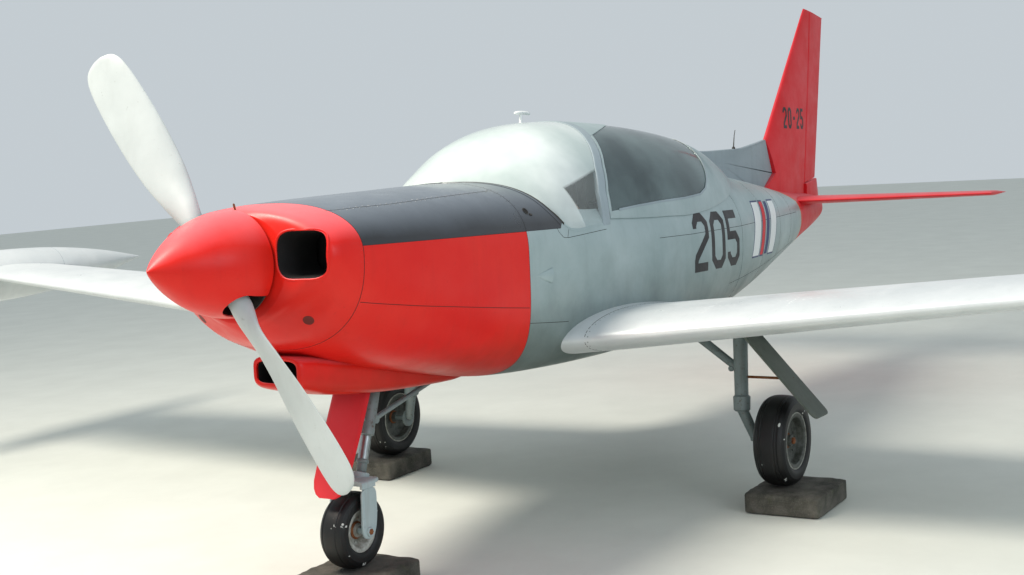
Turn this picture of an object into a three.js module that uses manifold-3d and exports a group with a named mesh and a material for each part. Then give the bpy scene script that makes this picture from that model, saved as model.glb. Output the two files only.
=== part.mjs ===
// Aerobatic trainer aircraft on three concrete blocks. Millimetres, nose along +X, port along +Y, +Z up.
// The airframe is laid out by station (aft of the spinner tip), side (y) and height above the thrust line,
// then tipped nose up and set with its tyres on the blocks.
import * as THREE from "three";
import { mergeVertices } from "three/addons/utils/BufferGeometryUtils.js";
import Module from "manifold-3d";

const wasm = await Module();
wasm.setup();

// Stance
const NOSE_UP_DEG = 1.83;
const THRUST_LINE_ABOVE_BLOCKS = 1313;
const BLOCK_HEIGHT = 100;
const BLOCK_LENGTH = 420;
const BLOCK_WIDTH = 370;
const BLOCK_OUTWARD = 56;
const STEER_ROOM = 0.35;
const SEAT = 0.4;
const MOVING_GAP = 6;

// Fuselage
const BOWL_FRONT = 430;
const BOWL_REAR = 620;
const FIREWALL = 1700;
const CABIN_REAR = 4150;
const DECK_REAR = 2050;
const DECK_EDGE_HEIGHT = 60;
const SKIN = 22;
const COWL_SKIN = 12;
const FLOOR_HEIGHT = -430;

// Stations of the fuselage skin: half width at its widest height, top and bottom on the centre line,
// and how square the upper and lower halves are.
const FUSELAGE = [
  { s: 430, half: 250, mid: 20, top: 198, bottom: -210, upper: 2.1, lower: 2.0 },
  { s: 448, half: 368, mid: 24, top: 208, bottom: -238, upper: 2.1, lower: 1.5 },
  { s: 470, half: 416, mid: 26, top: 213, bottom: -260, upper: 2.15, lower: 1.45 },
  { s: 500, half: 436, mid: 28, top: 217, bottom: -284, upper: 2.2, lower: 1.55 },
  { s: 550, half: 447, mid: 28, top: 222, bottom: -308, upper: 2.3, lower: 1.95 },
  { s: 620, half: 455, mid: 25, top: 228, bottom: -330, upper: 2.35, lower: 2.35 },
  { s: 800, half: 470, mid: 10, top: 240, bottom: -395, upper: 2.45, lower: 2.6 },
  { s: 1000, half: 480, mid: -5, top: 250, bottom: -450, upper: 2.55, lower: 3.0 },
  { s: 1400, half: 492, mid: -30, top: 268, bottom: -530, upper: 2.7, lower: 3.6 },
  { s: 1700, half: 500, mid: -50, top: 282, bottom: -575, upper: 2.7, lower: 4.0 },
  { s: 2100, half: 512, mid: -70, top: 295, bottom: -600, upper: 2.55, lower: 3.8 },
  { s: 2600, half: 520, mid: -90, top: 306, bottom: -612, upper: 2.4, lower: 3.6 },
  { s: 3200, half: 516, mid: -95, top: 316, bottom: -610, upper: 2.35, lower: 3.3 },
  { s: 3800, half: 492, mid: -90, top: 322, bottom: -588, upper: 2.3, lower: 2.9 },
  { s: 4150, half: 464, mid: -84, top: 320, bottom: -560, upper: 2.2, lower: 2.6 },
  { s: 4400, half: 434, mid: -76, top: 308, bottom: -530, upper: 2.2, lower: 2.5 },
  { s: 4900, half: 360, mid: -52, top: 262, bottom: -448, upper: 2.2, lower: 2.4 },
  { s: 5300, half: 295, mid: -38, top: 218, bottom: -366, upper: 2.2, lower: 2.3 },
  { s: 5700, half: 225, mid: -20, top: 172, bottom: -280, upper: 2.1, lower: 2.3 },
  { s: 6100, half: 158, mid: -2, top: 142, bottom: -196, upper: 2.1, lower: 2.2 },
  { s: 6450, half: 104, mid: 8, top: 130, bottom: -122, upper: 2.1, lower: 2.1 },
  { s: 6700, half: 58, mid: 18, top: 104, bottom: -58, upper: 2.0, lower: 2.0 },
  { s: 6770, half: 32, mid: 20, top: 68, bottom: -28, upper: 2.0, lower: 2.0 },
];

// Windscreen and canopy glass line: half width at its foot and crown height.
const CANOPY_FOOT = 0;
const CANOPY = [
  { s: 1780, half: 200, top: 278, round: 1.85 },
  { s: 1815, half: 325, top: 303, round: 1.85 },
  { s: 1850, half: 415, top: 332, round: 1.85 },
  { s: 1920, half: 480, top: 388, round: 1.85 },
  { s: 2000, half: 496, top: 444, round: 1.88 },
  { s: 2100, half: 502, top: 494, round: 2.0 },
  { s: 2250, half: 501, top: 538, round: 2.1 },
  { s: 2450, half: 497, top: 566, round: 2.2 },
  { s: 2700, half: 498, top: 577, round: 2.2 },
  { s: 3000, half: 498, top: 576, round: 2.2 },
  { s: 3400, half: 490, top: 562, round: 2.2 },
  { s: 3800, half: 462, top: 530, round: 2.2 },
  { s: 4100, half: 418, top: 482, round: 2.2 },
  { s: 4350, half: 358, top: 420, round: 2.1 },
  { s: 4550, half: 292, top: 362, round: 2.1 },
  { s: 4740, half: 205, top: 302, round: 2.0 },
];
const GLASS = 8;
const BOW_HALF_WIDTH = 36;
// The middle of the windscreen bow in side view, upright at its foot and leaning back at the crown.
const BOW = [
  [2412, -200],
  [2418, 60],
  [2432, 215],
  [2500, 340],
  [2612, 468],
  [2680, 540],
  [2760, 610],
  [2960, 780],
];
const SLOT_FRONT = 4150;
const SLOT_HALF = 20;
const CANOPY_TRAVEL = 700;

// Propeller
const PROP_STATION = 342;
const PROP_RISE = 12;
const PROP_RADIUS = 965;
const PROP_TURN_DEG = 35.2;
const SPINNER_LENGTH = 420;
const SPINNER_RADIUS = 200;

// Undercarriage
const NOSE_WHEEL = { s: 1030, radius: 158, width: 120, rim: 80 };
const MAIN_WHEEL = { s: 2848, side: 1169, radius: 216, width: 155, rim: 122 };
const AXLE_RADIUS = 14;

// Wing
const WING = { inner: 520, outer: 3860, quarter: 2424, rootChord: 1550, tipChord: 800, rootHeight: -448 };
const DIHEDRAL_DEG = 5.3;
const FLAP_END_GAP = 14;
const TANK = { side: 4010, nose: 1600, tail: 3690, radius: 165, drop: 12, tilt: 2.5 };

// Materials
const paint = {
  red: ["aircraft_red_paint", 0xd3281d, 0.35, 0.1],
  black: ["anti_glare_black_paint", 0x1d2027, 0.5, 0.1],
  silver: ["aluminium_silver_paint", 0xb4bcb9, 0.4, 0.5],
  grey: ["aluminium_grey_paint", 0xa9b0ad, 0.5, 0.3],
  steel: ["steel_gear_paint", 0x8e9a9c, 0.45, 0.3],
  rubber: ["rubber_tyre", 0x17181a, 0.85, 0.0],
  glass: ["acrylic_glazing", 0xbfcdcb, 0.1, 0.0],
  iron: ["cast_iron_engine", 0x3a3b3d, 0.7, 0.5],
  cloth: ["seat_fabric", 0x8d8268, 0.9, 0.0],
  plastic: ["matte_plastic_trim", 0x2b2c2e, 0.8, 0.0],
  stone: ["concrete", 0x6c6a62, 0.95, 0.0],
};

// Solid helpers
function solidOf(geometry) {
  const bare = geometry.index ? geometry.clone() : geometry;
  bare.deleteAttribute("normal");
  bare.deleteAttribute("uv");
  const merged = mergeVertices(bare, 1e-3);
  const mesh = new wasm.Mesh({
    numProp: 3,
    vertProperties: new Float32Array(merged.attributes.position.array),
    triVerts: new Uint32Array(merged.index.array),
  });
  return new wasm.Manifold(mesh);
}

// Closed rings of equal point count, skinned in turn and capped at both ends.
function loft(rings) {
  const count = rings[0].length;
  const points = rings.flat();
  const faces = [];
  for (let r = 0; r + 1 < rings.length; r++) {
    for (let i = 0; i < count; i++) {
      const a = r * count + i;
      const b = r * count + ((i + 1) % count);
      const side = points[a][1] + points[b][1] + points[a + count][1] + points[b + count][1];
      if (side >= 0) faces.push(a, a + count, b, b, a + count, b + count);
      else faces.push(a, a + count, b + count, a, b + count, b);
    }
  }
  const ends = [rings[0], rings[rings.length - 1]];
  ends.forEach((ring, end) => {
    const hub = points.length;
    const centre = ring.reduce((sum, p) => sum.map((v, k) => v + p[k] / count), [0, 0, 0]);
    points.push(centre);
    const base = end * (rings.length - 1) * count;
    for (let i = 0; i < count; i++) {
      const a = base + i;
      const b = base + ((i + 1) % count);
      faces.push(...(end ? [hub, b, a] : [hub, a, b]));
    }
  });
  let volume = 0;
  for (let i = 0; i < faces.length; i += 3) {
    const [a, b, c] = [points[faces[i]], points[faces[i + 1]], points[faces[i + 2]]];
    volume += a[0] * (b[1] * c[2] - b[2] * c[1]);
    volume += a[1] * (b[2] * c[0] - b[0] * c[2]);
    volume += a[2] * (b[0] * c[1] - b[1] * c[0]);
  }
  if (volume < 0) faces.reverse();
  const geometry = new THREE.BufferGeometry();
  geometry.setAttribute("position", new THREE.BufferAttribute(new Float32Array(points.flat()), 3));
  geometry.setIndex(faces);
  return solidOf(geometry);
}

function lathe(profile, segments) {
  const geometry = new THREE.LatheGeometry(
    profile.map(([radius, along]) => new THREE.Vector2(radius, along)),
    segments,
  );
  return solidOf(geometry);
}

function place(solid, object) {
  object.updateMatrix();
  return solid.transform(object.matrix.toArray());
}

function extruded(outline, depth, basis, origin) {
  const shape = new THREE.Shape(outline.map(([x, y]) => new THREE.Vector2(x, y)));
  const geometry = new THREE.ExtrudeGeometry(shape, { depth, bevelEnabled: false, curveSegments: 8 });
  const matrix = new THREE.Matrix4().makeBasis(...basis.map((v) => new THREE.Vector3(...v)));
  matrix.setPosition(...origin);
  geometry.applyMatrix4(matrix);
  return solidOf(geometry);
}

// Prisms drawn in side view (station, height), plan (station, y) and front view (y, height).
function sidePrism(outline, y0, y1) {
  const drawn = outline.map(([s, h]) => [-s, h]);
  const basis = [[1, 0, 0], [0, 0, 1], [0, -1, 0]];
  return extruded(drawn, y1 - y0, basis, [0, y1, 0]);
}
function planPrism(outline, h0, h1) {
  const drawn = outline.map(([s, y]) => [-s, y]);
  const basis = [[1, 0, 0], [0, 1, 0], [0, 0, 1]];
  return extruded(drawn, h1 - h0, basis, [0, 0, h0]);
}
function frontPrism(outline, s0, s1) {
  const basis = [[0, 1, 0], [0, 0, 1], [1, 0, 0]];
  return extruded(outline, s1 - s0, basis, [-s1, 0, 0]);
}
function box(s0, s1, y0, y1, h0, h1) {
  const geometry = new THREE.BoxGeometry(s1 - s0, y1 - y0, h1 - h0);
  geometry.translate(-(s0 + s1) / 2, (y0 + y1) / 2, (h0 + h1) / 2);
  return solidOf(geometry);
}

// A round bar between two body points (station, y, height).
function bar(from, to, radius, segments = 16, farRadius = radius) {
  const a = new THREE.Vector3(-from[0], from[1], from[2]);
  const b = new THREE.Vector3(-to[0], to[1], to[2]);
  const geometry = new THREE.CylinderGeometry(farRadius, radius, a.distanceTo(b), segments);
  const holder = new THREE.Object3D();
  holder.position.copy(a).add(b).multiplyScalar(0.5);
  holder.quaternion.setFromUnitVectors(new THREE.Vector3(0, 1, 0), b.clone().sub(a).normalize());
  return place(solidOf(geometry), holder);
}

function roundedRectangle(width, height, corner, segments = 4) {
  const points = [];
  const centres = [[1, 1, 0], [-1, 1, 1], [-1, -1, 2], [1, -1, 3]];
  for (const [sx, sy, turn] of centres) {
    for (let i = 0; i <= segments; i++) {
      const angle = ((turn + i / segments) * Math.PI) / 2;
      points.push([
        sx * (width / 2 - corner) + corner * Math.cos(angle),
        sy * (height / 2 - corner) + corner * Math.sin(angle),
      ]);
    }
  }
  return points;
}

// Values of a station table at s, on a smooth curve through its rows.
function stationAt(table, s) {
  let i = table.findIndex((row) => row.s > s) - 1;
  if (i < -1) i = table.length - 2;
  i = Math.max(0, Math.min(i, table.length - 2));
  const [a, b] = [table[i], table[i + 1]];
  const before = table[Math.max(i - 1, 0)];
  const after = table[Math.min(i + 2, table.length - 1)];
  const span = b.s - a.s;
  const t = Math.min(1, Math.max(0, (s - a.s) / span));
  const made = {};
  for (const key of Object.keys(a)) {
    const slopeA = i > 0 ? (b[key] - before[key]) / (b.s - before.s) : (b[key] - a[key]) / span;
    const slopeB = i + 2 < table.length ? (after[key] - a[key]) / (after.s - a.s) : (b[key] - a[key]) / span;
    const t2 = t * t;
    const t3 = t2 * t;
    made[key] =
      a[key] * (2 * t3 - 3 * t2 + 1) +
      b[key] * (3 * t2 - 2 * t3) +
      span * (slopeA * (t3 - 2 * t2 + t) + slopeB * (t3 - t2));
  }
  made.s = s;
  return made;
}

function fuselageRing(s, offset, count, floor) {
  const row = stationAt(FUSELAGE, s);
  const ring = [];
  for (let i = 0; i < count; i++) {
    const angle = (2 * Math.PI * i) / count;
    const up = Math.sin(angle) >= -1e-9;
    const power = 2 / (up ? row.upper : row.lower);
    const c = Math.cos(angle);
    const w = Math.abs(Math.sin(angle));
    const y = Math.sign(c) * (row.half + offset) * Math.abs(c) ** power;
    const reach = up ? row.top + offset - row.mid : row.mid - row.bottom + offset;
    let h = row.mid + (up ? 1 : -1) * reach * w ** power;
    if (floor !== undefined) h = Math.max(h, floor);
    ring.push([-s, y, h]);
  }
  return ring;
}

function stationsBetween(from, to, table, extra = []) {
  const inner = table.map((row) => row.s).filter((s) => s > from + 15 && s < to - 15);
  return [...new Set([from, ...inner, ...extra.filter((s) => s > from && s < to), to])].sort((a, b) => a - b);
}

function fuselage(from, to, offset = 0, floor = undefined, count = 28) {
  const stations = stationsBetween(from, to, FUSELAGE);
  return loft(stations.map((s) => fuselageRing(s, offset, count, floor)));
}

function canopyRing(s, offset, arcs) {
  const row = stationAt(CANOPY, s);
  const ring = [];
  for (let i = 0; i <= arcs; i++) {
    const angle = (Math.PI * i) / arcs;
    const c = Math.cos(angle);
    const w = Math.sin(angle);
    const y = Math.sign(c) * (row.half + offset) * Math.abs(c) ** (2 / row.round);
    const h = CANOPY_FOOT + (row.top + offset - CANOPY_FOOT) * Math.max(0, w) ** (2 / row.round);
    ring.push([-s, y, h]);
  }
  return ring;
}

function canopy(from, to, offset = 0, arcs = 18) {
  return loft(stationsBetween(from, to, CANOPY).map((s) => canopyRing(s, offset, arcs)));
}

// Half thickness of the streamlined section, as a share of the chord.
function halfThickness(x, thick) {
  const t = 0.2969 * Math.sqrt(x) - 0.126 * x - 0.3516 * x ** 2 + 0.2843 * x ** 3 - 0.1015 * x ** 4;
  return 5 * thick * t;
}
function camberAt(x, camber) {
  return 4 * camber * x * (1 - x);
}
const CHORD_STEPS = [1, 0.88, 0.74, 0.58, 0.42, 0.28, 0.17, 0.09, 0.035, 0.008, 0];

// One section of a lifting surface as pairs (share of chord, share of chord above the chord line),
// from the leading edge back to a given share.
function sectionOutline(thick, camber, to = 1) {
  const marks = CHORD_STEPS.map((x) => x * to);
  const upper = marks.map((x) => [x, camberAt(x, camber) + halfThickness(x, thick)]);
  const lower = marks.map((x) => [x, camberAt(x, camber) - halfThickness(x, thick)]).reverse();
  lower.shift();
  return [...upper, ...lower];
}

// The moving rear part of a section: a round nose about the hinge.
function flapOutline(thick, camber, hinge, shrink) {
  const steps = [1, 0.66, 0.33].map((share) => hinge + (1 - hinge) * share);
  const upper = steps.map((x) => [x, camberAt(x, camber) + halfThickness(x, thick)]);
  const lower = steps.map((x) => [x, camberAt(x, camber) - halfThickness(x, thick)]).reverse();
  const radius = halfThickness(hinge, thick) - shrink;
  const nose = [];
  for (let i = 0; i <= 8; i++) {
    const angle = Math.PI / 2 + (Math.PI * i) / 8;
    nose.push([hinge + radius * Math.cos(angle), camberAt(hinge, camber) + radius * Math.sin(angle)]);
  }
  return [...upper, ...nose, ...lower];
}

// Wing sections
function wingAt(y) {
  const share = (y - WING.inner) / (WING.outer - WING.inner);
  const chord = WING.rootChord + (WING.tipChord - WING.rootChord) * share;
  return {
    y,
    chord,
    lead: WING.quarter - 0.25 * chord,
    height: WING.rootHeight + Math.tan(THREE.MathUtils.degToRad(DIHEDRAL_DEG)) * (y - WING.inner),
    thick: 0.125 - 0.02 * share,
    camber: 0.018,
    twist: THREE.MathUtils.degToRad(1.5 - 1.5 * share),
  };
}
// Rows that swell the wing into its root fillet: side, extra chord ahead and behind, thickness factor, lift.
const FILLET = [
  { y: 380, ahead: 42, behind: 260, swell: 1.06, lift: 6 },
  { y: 500, ahead: 22, behind: 170, swell: 1.04, lift: 4 },
  { y: 560, ahead: 8, behind: 70, swell: 1.01, lift: 1 },
  { y: 640, ahead: 1, behind: 14, swell: 1, lift: 0 },
];
function wingPoint(at, x, z) {
  const c = Math.cos(at.twist);
  const n = Math.sin(at.twist);
  return [
    -(at.lead + at.chord * (x * c + z * n)),
    at.y,
    at.height + at.chord * (z * c - x * n),
  ];
}
function wingRing(at, outline) {
  return outline.map(([x, z]) => wingPoint(at, x, z));
}
function wingSolid() {
  const rings = FILLET.map((row) => {
    const at = wingAt(row.y);
    at.lead -= row.ahead;
    at.height += row.lift;
    at.chord += row.ahead + row.behind;
    at.thick = (at.thick * row.swell * wingAt(row.y).chord) / at.chord;
    return wingRing(at, sectionOutline(at.thick, at.camber));
  });
  for (const y of [720, 1500, 2400, 3200, WING.outer]) {
    const at = wingAt(y);
    rings.push(wingRing(at, sectionOutline(at.thick, at.camber)));
  }
  return loft(rings);
}

const joints = {};
function hingePoint(at, share) {
  return wingPoint(at, share, camberAt(share, at.camber));
}

// A hinged wing surface between two sides, its hole in the wing and its hinge.
function wingSurface(name, inner, outer, share, endGap) {
  const ends = [wingAt(inner), wingAt(outer)];
  const shrink = 1.5;
  const rings = ends.map((at) => wingRing(at, flapOutline(at.thick, at.camber, share, shrink / at.chord)));
  const [a, b] = ends.map((at) => hingePoint(at, share));
  const along = new THREE.Vector3(...b).sub(new THREE.Vector3(...a)).normalize();
  const pinReach = endGap + 20;
  const start = new THREE.Vector3(...a).addScaledVector(along, -pinReach);
  const stop = new THREE.Vector3(...b).addScaledVector(along, pinReach);
  const pin = (radius, more) => {
    const p = start.clone().addScaledVector(along, -more);
    const q = stop.clone().addScaledVector(along, more);
    return bar([-p.x, p.y, p.z], [-q.x, q.y, q.z], radius, 10);
  };
  const noseRadius = (at) => at.chord * halfThickness(share, at.thick);
  const front = ends.map((at) => at.lead + at.chord * share - noseRadius(at) - MOVING_GAP);
  const hole = planPrism(
    [
      [front[0], inner - endGap],
      [front[1], outer + endGap],
      [4200, outer + endGap],
      [4200, inner - endGap],
    ],
    -900,
    300,
  ).add(pin(6.6, 4));
  joints[name] = { at: [a, b] };
  return { moving: loft(rings).add(pin(6, 0)), hole };
}

// Tail sections drawn on a straight leading edge and trailing edge.
function finRing(height, front, rear, thick, to) {
  const chord = rear - front;
  return sectionOutline(thick, 0, to).map(([x, z]) => [-(front + x * chord), z * chord, height]);
}

const airframe = new THREE.Group();
airframe.name = "airframe";
const propeller = new THREE.Group();
propeller.name = "propeller";

function meshOf(solid) {
  const made = solid.getMesh();
  const geometry = new THREE.BufferGeometry();
  const positions = new Float32Array(made.numVert * 3);
  for (let i = 0; i < made.numVert; i++) {
    positions.set(made.vertProperties.subarray(i * made.numProp, i * made.numProp + 3), i * 3);
  }
  geometry.setAttribute("position", new THREE.BufferAttribute(positions, 3));
  geometry.setIndex(new THREE.BufferAttribute(new Uint32Array(made.triVerts), 1));
  geometry.computeVertexNormals();
  return geometry;
}
function add(parent, name, solid, finish) {
  const [label, color, roughness, metalness] = paint[finish];
  const material = new THREE.MeshStandardMaterial({ color, roughness, metalness });
  material.name = label;
  const mesh = new THREE.Mesh(meshOf(solid), material);
  mesh.name = name;
  parent.add(mesh);
  return mesh;
}
const mirrored = (solid) => solid.mirror([0, 1, 0]);
const largest = (solid) => solid.decompose().sort((a, b) => b.volume() - a.volume())[0];

// Propeller, built about its own axis with the first blade along +Z
propeller.position.set(-PROP_STATION, 0, PROP_RISE);
propeller.rotation.x = THREE.MathUtils.degToRad(PROP_TURN_DEG);

const SPINNER_POCKET = 150;
const CUTOUT_HALF = 66;
const HUB_RADIUS = 70;
const BARREL_RADIUS = 50;
const BLADE_START = 155;
const spinnerProfile = [[0, 0]];
for (const share of [0.012, 0.05, 0.12, 0.22, 0.34, 0.48, 0.64, 0.82, 1]) {
  const radius = SPINNER_RADIUS * Math.sin((Math.PI / 2) * share ** 0.88);
  spinnerProfile.push([radius, -share * SPINNER_LENGTH]);
}
spinnerProfile.push([0, -SPINNER_LENGTH]);
const toForward = new THREE.Object3D();
toForward.rotation.z = -Math.PI / 2;
toForward.position.x = PROP_STATION;
let spinner = place(lathe(spinnerProfile.slice().reverse(), 32), toForward);
const propBox = (s0, s1, y0, y1, z0, z1) => box(s0 - PROP_STATION, s1 - PROP_STATION, y0, y1, z0, z1);
const propBar = (s0, s1, radius, segments) =>
  bar([s0 - PROP_STATION, 0, 0], [s1 - PROP_STATION, 0, 0], radius, segments);
spinner = spinner.subtract(propBar(215, 440, SPINNER_POCKET, 32));
const CUTOUT_FRONT = 335;
for (const side of [1, -1]) {
  const reach = side * 260;
  const mouth = propBox(CUTOUT_FRONT, 440, -CUTOUT_HALF, CUTOUT_HALF, Math.min(0, reach), Math.max(0, reach));
  const cutoutAhead = CUTOUT_FRONT - PROP_STATION;
  const round = bar([cutoutAhead, 0, 0], [cutoutAhead, 0, reach], CUTOUT_HALF, 20);
  spinner = spinner.subtract(mouth).subtract(round);
}
add(propeller, "spinner", spinner, "red");

const SHAFT_RADIUS = 45;
const ENGINE_FRONT = 720;
const hub = propBar(215 + SEAT, 480, HUB_RADIUS, 24)
  .add(propBar(470, ENGINE_FRONT - SEAT, SHAFT_RADIUS, 24))
  .add(bar([0, 0, -BLADE_START + SEAT], [0, 0, BLADE_START - SEAT], BARREL_RADIUS, 20));
add(propeller, "propeller_hub", hub, "steel");

// Blade rows: radius, half chord, half thickness, pitch in degrees.
const BLADE = [
  { r: BLADE_START, chord: 44, thick: 44, pitch: 0 },
  { r: 215, chord: 47, thick: 42, pitch: 20 },
  { r: 300, chord: 64, thick: 26, pitch: 38 },
  { r: 420, chord: 84, thick: 17, pitch: 33 },
  { r: 600, chord: 97, thick: 12, pitch: 25 },
  { r: 780, chord: 97, thick: 9, pitch: 20 },
  { r: 890, chord: 90, thick: 7, pitch: 17 },
  { r: 940, chord: 76, thick: 5.5, pitch: 16 },
  { r: PROP_RADIUS, chord: 44, thick: 3.5, pitch: 16 },
];
function bladeSolid() {
  const count = 16;
  const rings = BLADE.map((row) => {
    const pitch = THREE.MathUtils.degToRad(row.pitch);
    const ring = [];
    for (let i = 0; i < count; i++) {
      const angle = (2 * Math.PI * i) / count;
      const c = row.chord * Math.cos(angle);
      const t = row.thick * Math.sin(angle);
      ring.push([
        c * Math.sin(pitch) + t * Math.cos(pitch),
        -c * Math.cos(pitch) + t * Math.sin(pitch),
        row.r,
      ]);
    }
    return ring;
  });
  return loft(rings);
}
const blade = bladeSolid();
add(propeller, "propeller_blade_1", blade, "grey");
add(propeller, "propeller_blade_2", blade.rotate([180, 0, 0]), "grey");
airframe.add(propeller);

// Nose bowl with two side inlets
const INLET = { side: 306, height: 40, width: 204, tall: 176, corner: 48 };
const HUB_HOLE = 88;
let bowl = fuselage(BOWL_FRONT, BOWL_REAR - SEAT).subtract(fuselage(BOWL_FRONT + 26, BOWL_REAR + 40, -SKIN));
bowl = bowl.subtract(bar([BOWL_FRONT - 40, 0, PROP_RISE], [BOWL_REAR, 0, PROP_RISE], HUB_HOLE, 32));
for (const side of [1, -1]) {
  const outline = roundedRectangle(INLET.width, INLET.tall, INLET.corner).map(([y, h]) => [
    side * INLET.side + y,
    INLET.height + h,
  ]);
  bowl = bowl.subtract(frontPrism(outline, BOWL_FRONT - 30, BOWL_REAR));
}
add(airframe, "nose_bowl", bowl, "red");

// Cowlings, parted at the edge of the anti-glare paint
const cowlShell = fuselage(BOWL_REAR, FIREWALL - SEAT).subtract(
  fuselage(BOWL_REAR - 20, FIREWALL + 20, -COWL_SKIN),
);
const aboveEdge = box(BOWL_REAR - 100, FIREWALL + 100, -700, 700, DECK_EDGE_HEIGHT + SEAT, 700);
const belowEdge = box(BOWL_REAR - 100, FIREWALL + 100, -700, 700, -900, DECK_EDGE_HEIGHT);
add(airframe, "upper_cowl", cowlShell.intersect(aboveEdge), "black");

// Chin scoop rows: half width, top and bottom.
const SCOOP = [
  { s: BOWL_REAR, half: 120, top: -354, bottom: -478 },
  { s: 700, half: 134, top: -362, bottom: -502 },
  { s: 820, half: 148, top: -380, bottom: -530 },
  { s: 1100, half: 162, top: -420, bottom: -562 },
  { s: 1400, half: 168, top: -470, bottom: -578 },
  { s: FIREWALL - SEAT, half: 160, top: -500, bottom: -585 },
];
const WELL = { front: 985, rear: 1640, half: 112 };
const scoopRing = (row) =>
  roundedRectangle(2 * row.half, row.top - row.bottom, 48).map(([y, h]) => [
    -row.s,
    y,
    (row.top + row.bottom) / 2 + h,
  ]);
let lowerCowl = cowlShell.intersect(belowEdge).add(loft(SCOOP.map(scoopRing)));
const mouthOutline = roundedRectangle(208, 86, 28).map(([y, h]) => [y, h - 421]);
lowerCowl = lowerCowl
  .subtract(frontPrism(mouthOutline, BOWL_REAR - 20, BOWL_REAR + 190))
  .subtract(box(WELL.front, WELL.rear, -WELL.half, WELL.half, -700, -300));
add(airframe, "lower_cowl", lowerCowl, "red");

// Engine as one plain block, on the firewall
const ENGINE = { half: 340, low: -225, high: 115 };
const engine = box(ENGINE_FRONT, FIREWALL - SEAT, -ENGINE.half, ENGINE.half, ENGINE.low, ENGINE.high);
add(airframe, "engine_block", engine, "iron");

// Cabin section: a tub with a floor, open above between windscreen and rear deck
const cabinOuter = fuselage(FIREWALL, CABIN_REAR);
const cabinInner = fuselage(FIREWALL + 25, CABIN_REAR - 20, -SKIN, FLOOR_HEIGHT);
const canopyInside = canopy(1800, CABIN_REAR - 20, -SKIN - 6);
const cabinShell = cabinOuter.subtract(cabinInner).subtract(canopyInside);
const deckZone = box(FIREWALL - 20, DECK_REAR, -700, 700, DECK_EDGE_HEIGHT, 900);
const deckZoneWide = box(FIREWALL - 20, DECK_REAR + SEAT, -700, 700, DECK_EDGE_HEIGHT - SEAT, 900);
add(airframe, "scuttle_deck", cabinShell.intersect(deckZone), "black");

const wingLeftFull = wingSolid();
add(airframe, "cabin_section", cabinShell.subtract(deckZoneWide), "silver");

// Rear fuselage and red tail cone, parted on a stepped paint line
const TAIL_END = 6770;
const tailLine = [
  [5600, 400],
  [5620, 165],
  [5820, 85],
  [5872, -90],
  [5850, -500],
];
const behindLine = (shift) =>
  sidePrism([...tailLine.map(([s, h]) => [s + shift, h]), [7200, -500], [7200, 400]], -500, 500);
const rearOuter = fuselage(CABIN_REAR + SEAT, TAIL_END);
const rearInner = fuselage(CABIN_REAR - 20, 5500, -20);
const rearShell = rearOuter.subtract(rearInner);
add(airframe, "rear_fuselage", rearShell.subtract(behindLine(0)), "silver");

// Tail surfaces
const TAILPLANE = {
  height: 84,
  hinge: 6430,
  rootSide: 60,
  rootFront: 5895,
  rootRear: 6770,
  tipSide: 1420,
  tipFront: 6125,
  tipRear: 6580,
  thick: 0.07,
  elevatorInner: 168,
};
const ELEVATOR_TUBE = 12;
const RUDDER_PIN = 10;
function tailAt(y) {
  const share = (y - TAILPLANE.rootSide) / (TAILPLANE.tipSide - TAILPLANE.rootSide);
  const front = TAILPLANE.rootFront + (TAILPLANE.tipFront - TAILPLANE.rootFront) * share;
  const rear = TAILPLANE.rootRear + (TAILPLANE.tipRear - TAILPLANE.rootRear) * share;
  const chord = rear - front;
  return { y, front, chord, hinge: (TAILPLANE.hinge - front) / chord, thick: TAILPLANE.thick };
}
const tailRing = (at, outline) =>
  outline.map(([x, z]) => [-(at.front + x * at.chord), at.y, TAILPLANE.height + z * at.chord]);
const tailFixed = (y) => {
  const at = tailAt(y);
  const gap = halfThickness(at.hinge, at.thick) + MOVING_GAP / at.chord;
  return tailRing(at, sectionOutline(at.thick, 0, at.hinge - gap));
};
const tailMoving = (y) => {
  const at = tailAt(y);
  return tailRing(at, flapOutline(at.thick, 0, at.hinge, 0));
};
const tailSides = [TAILPLANE.rootSide, 600, 1100, TAILPLANE.tipSide];
const fuselageSeat = fuselage(5300, TAIL_END, SEAT);
const tailplane = loft(tailSides.map(tailFixed)).subtract(fuselageSeat);
add(airframe, "tailplane_left", tailplane, "red");
add(airframe, "tailplane_right", mirrored(tailplane), "red");

const tubeHalf = (radius, reach) =>
  bar([TAILPLANE.hinge, -reach, TAILPLANE.height], [TAILPLANE.hinge, reach, TAILPLANE.height], radius, 16);
const elevatorHalf = loft([TAILPLANE.elevatorInner, 600, 1100, TAILPLANE.tipSide].map(tailMoving));
const elevator = elevatorHalf.add(mirrored(elevatorHalf)).add(tubeHalf(ELEVATOR_TUBE, 200));
add(airframe, "elevator", elevator, "red");
joints.elevator = { at: [[-TAILPLANE.hinge, 0, TAILPLANE.height]], axis: [0, 1, 0] };

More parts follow.
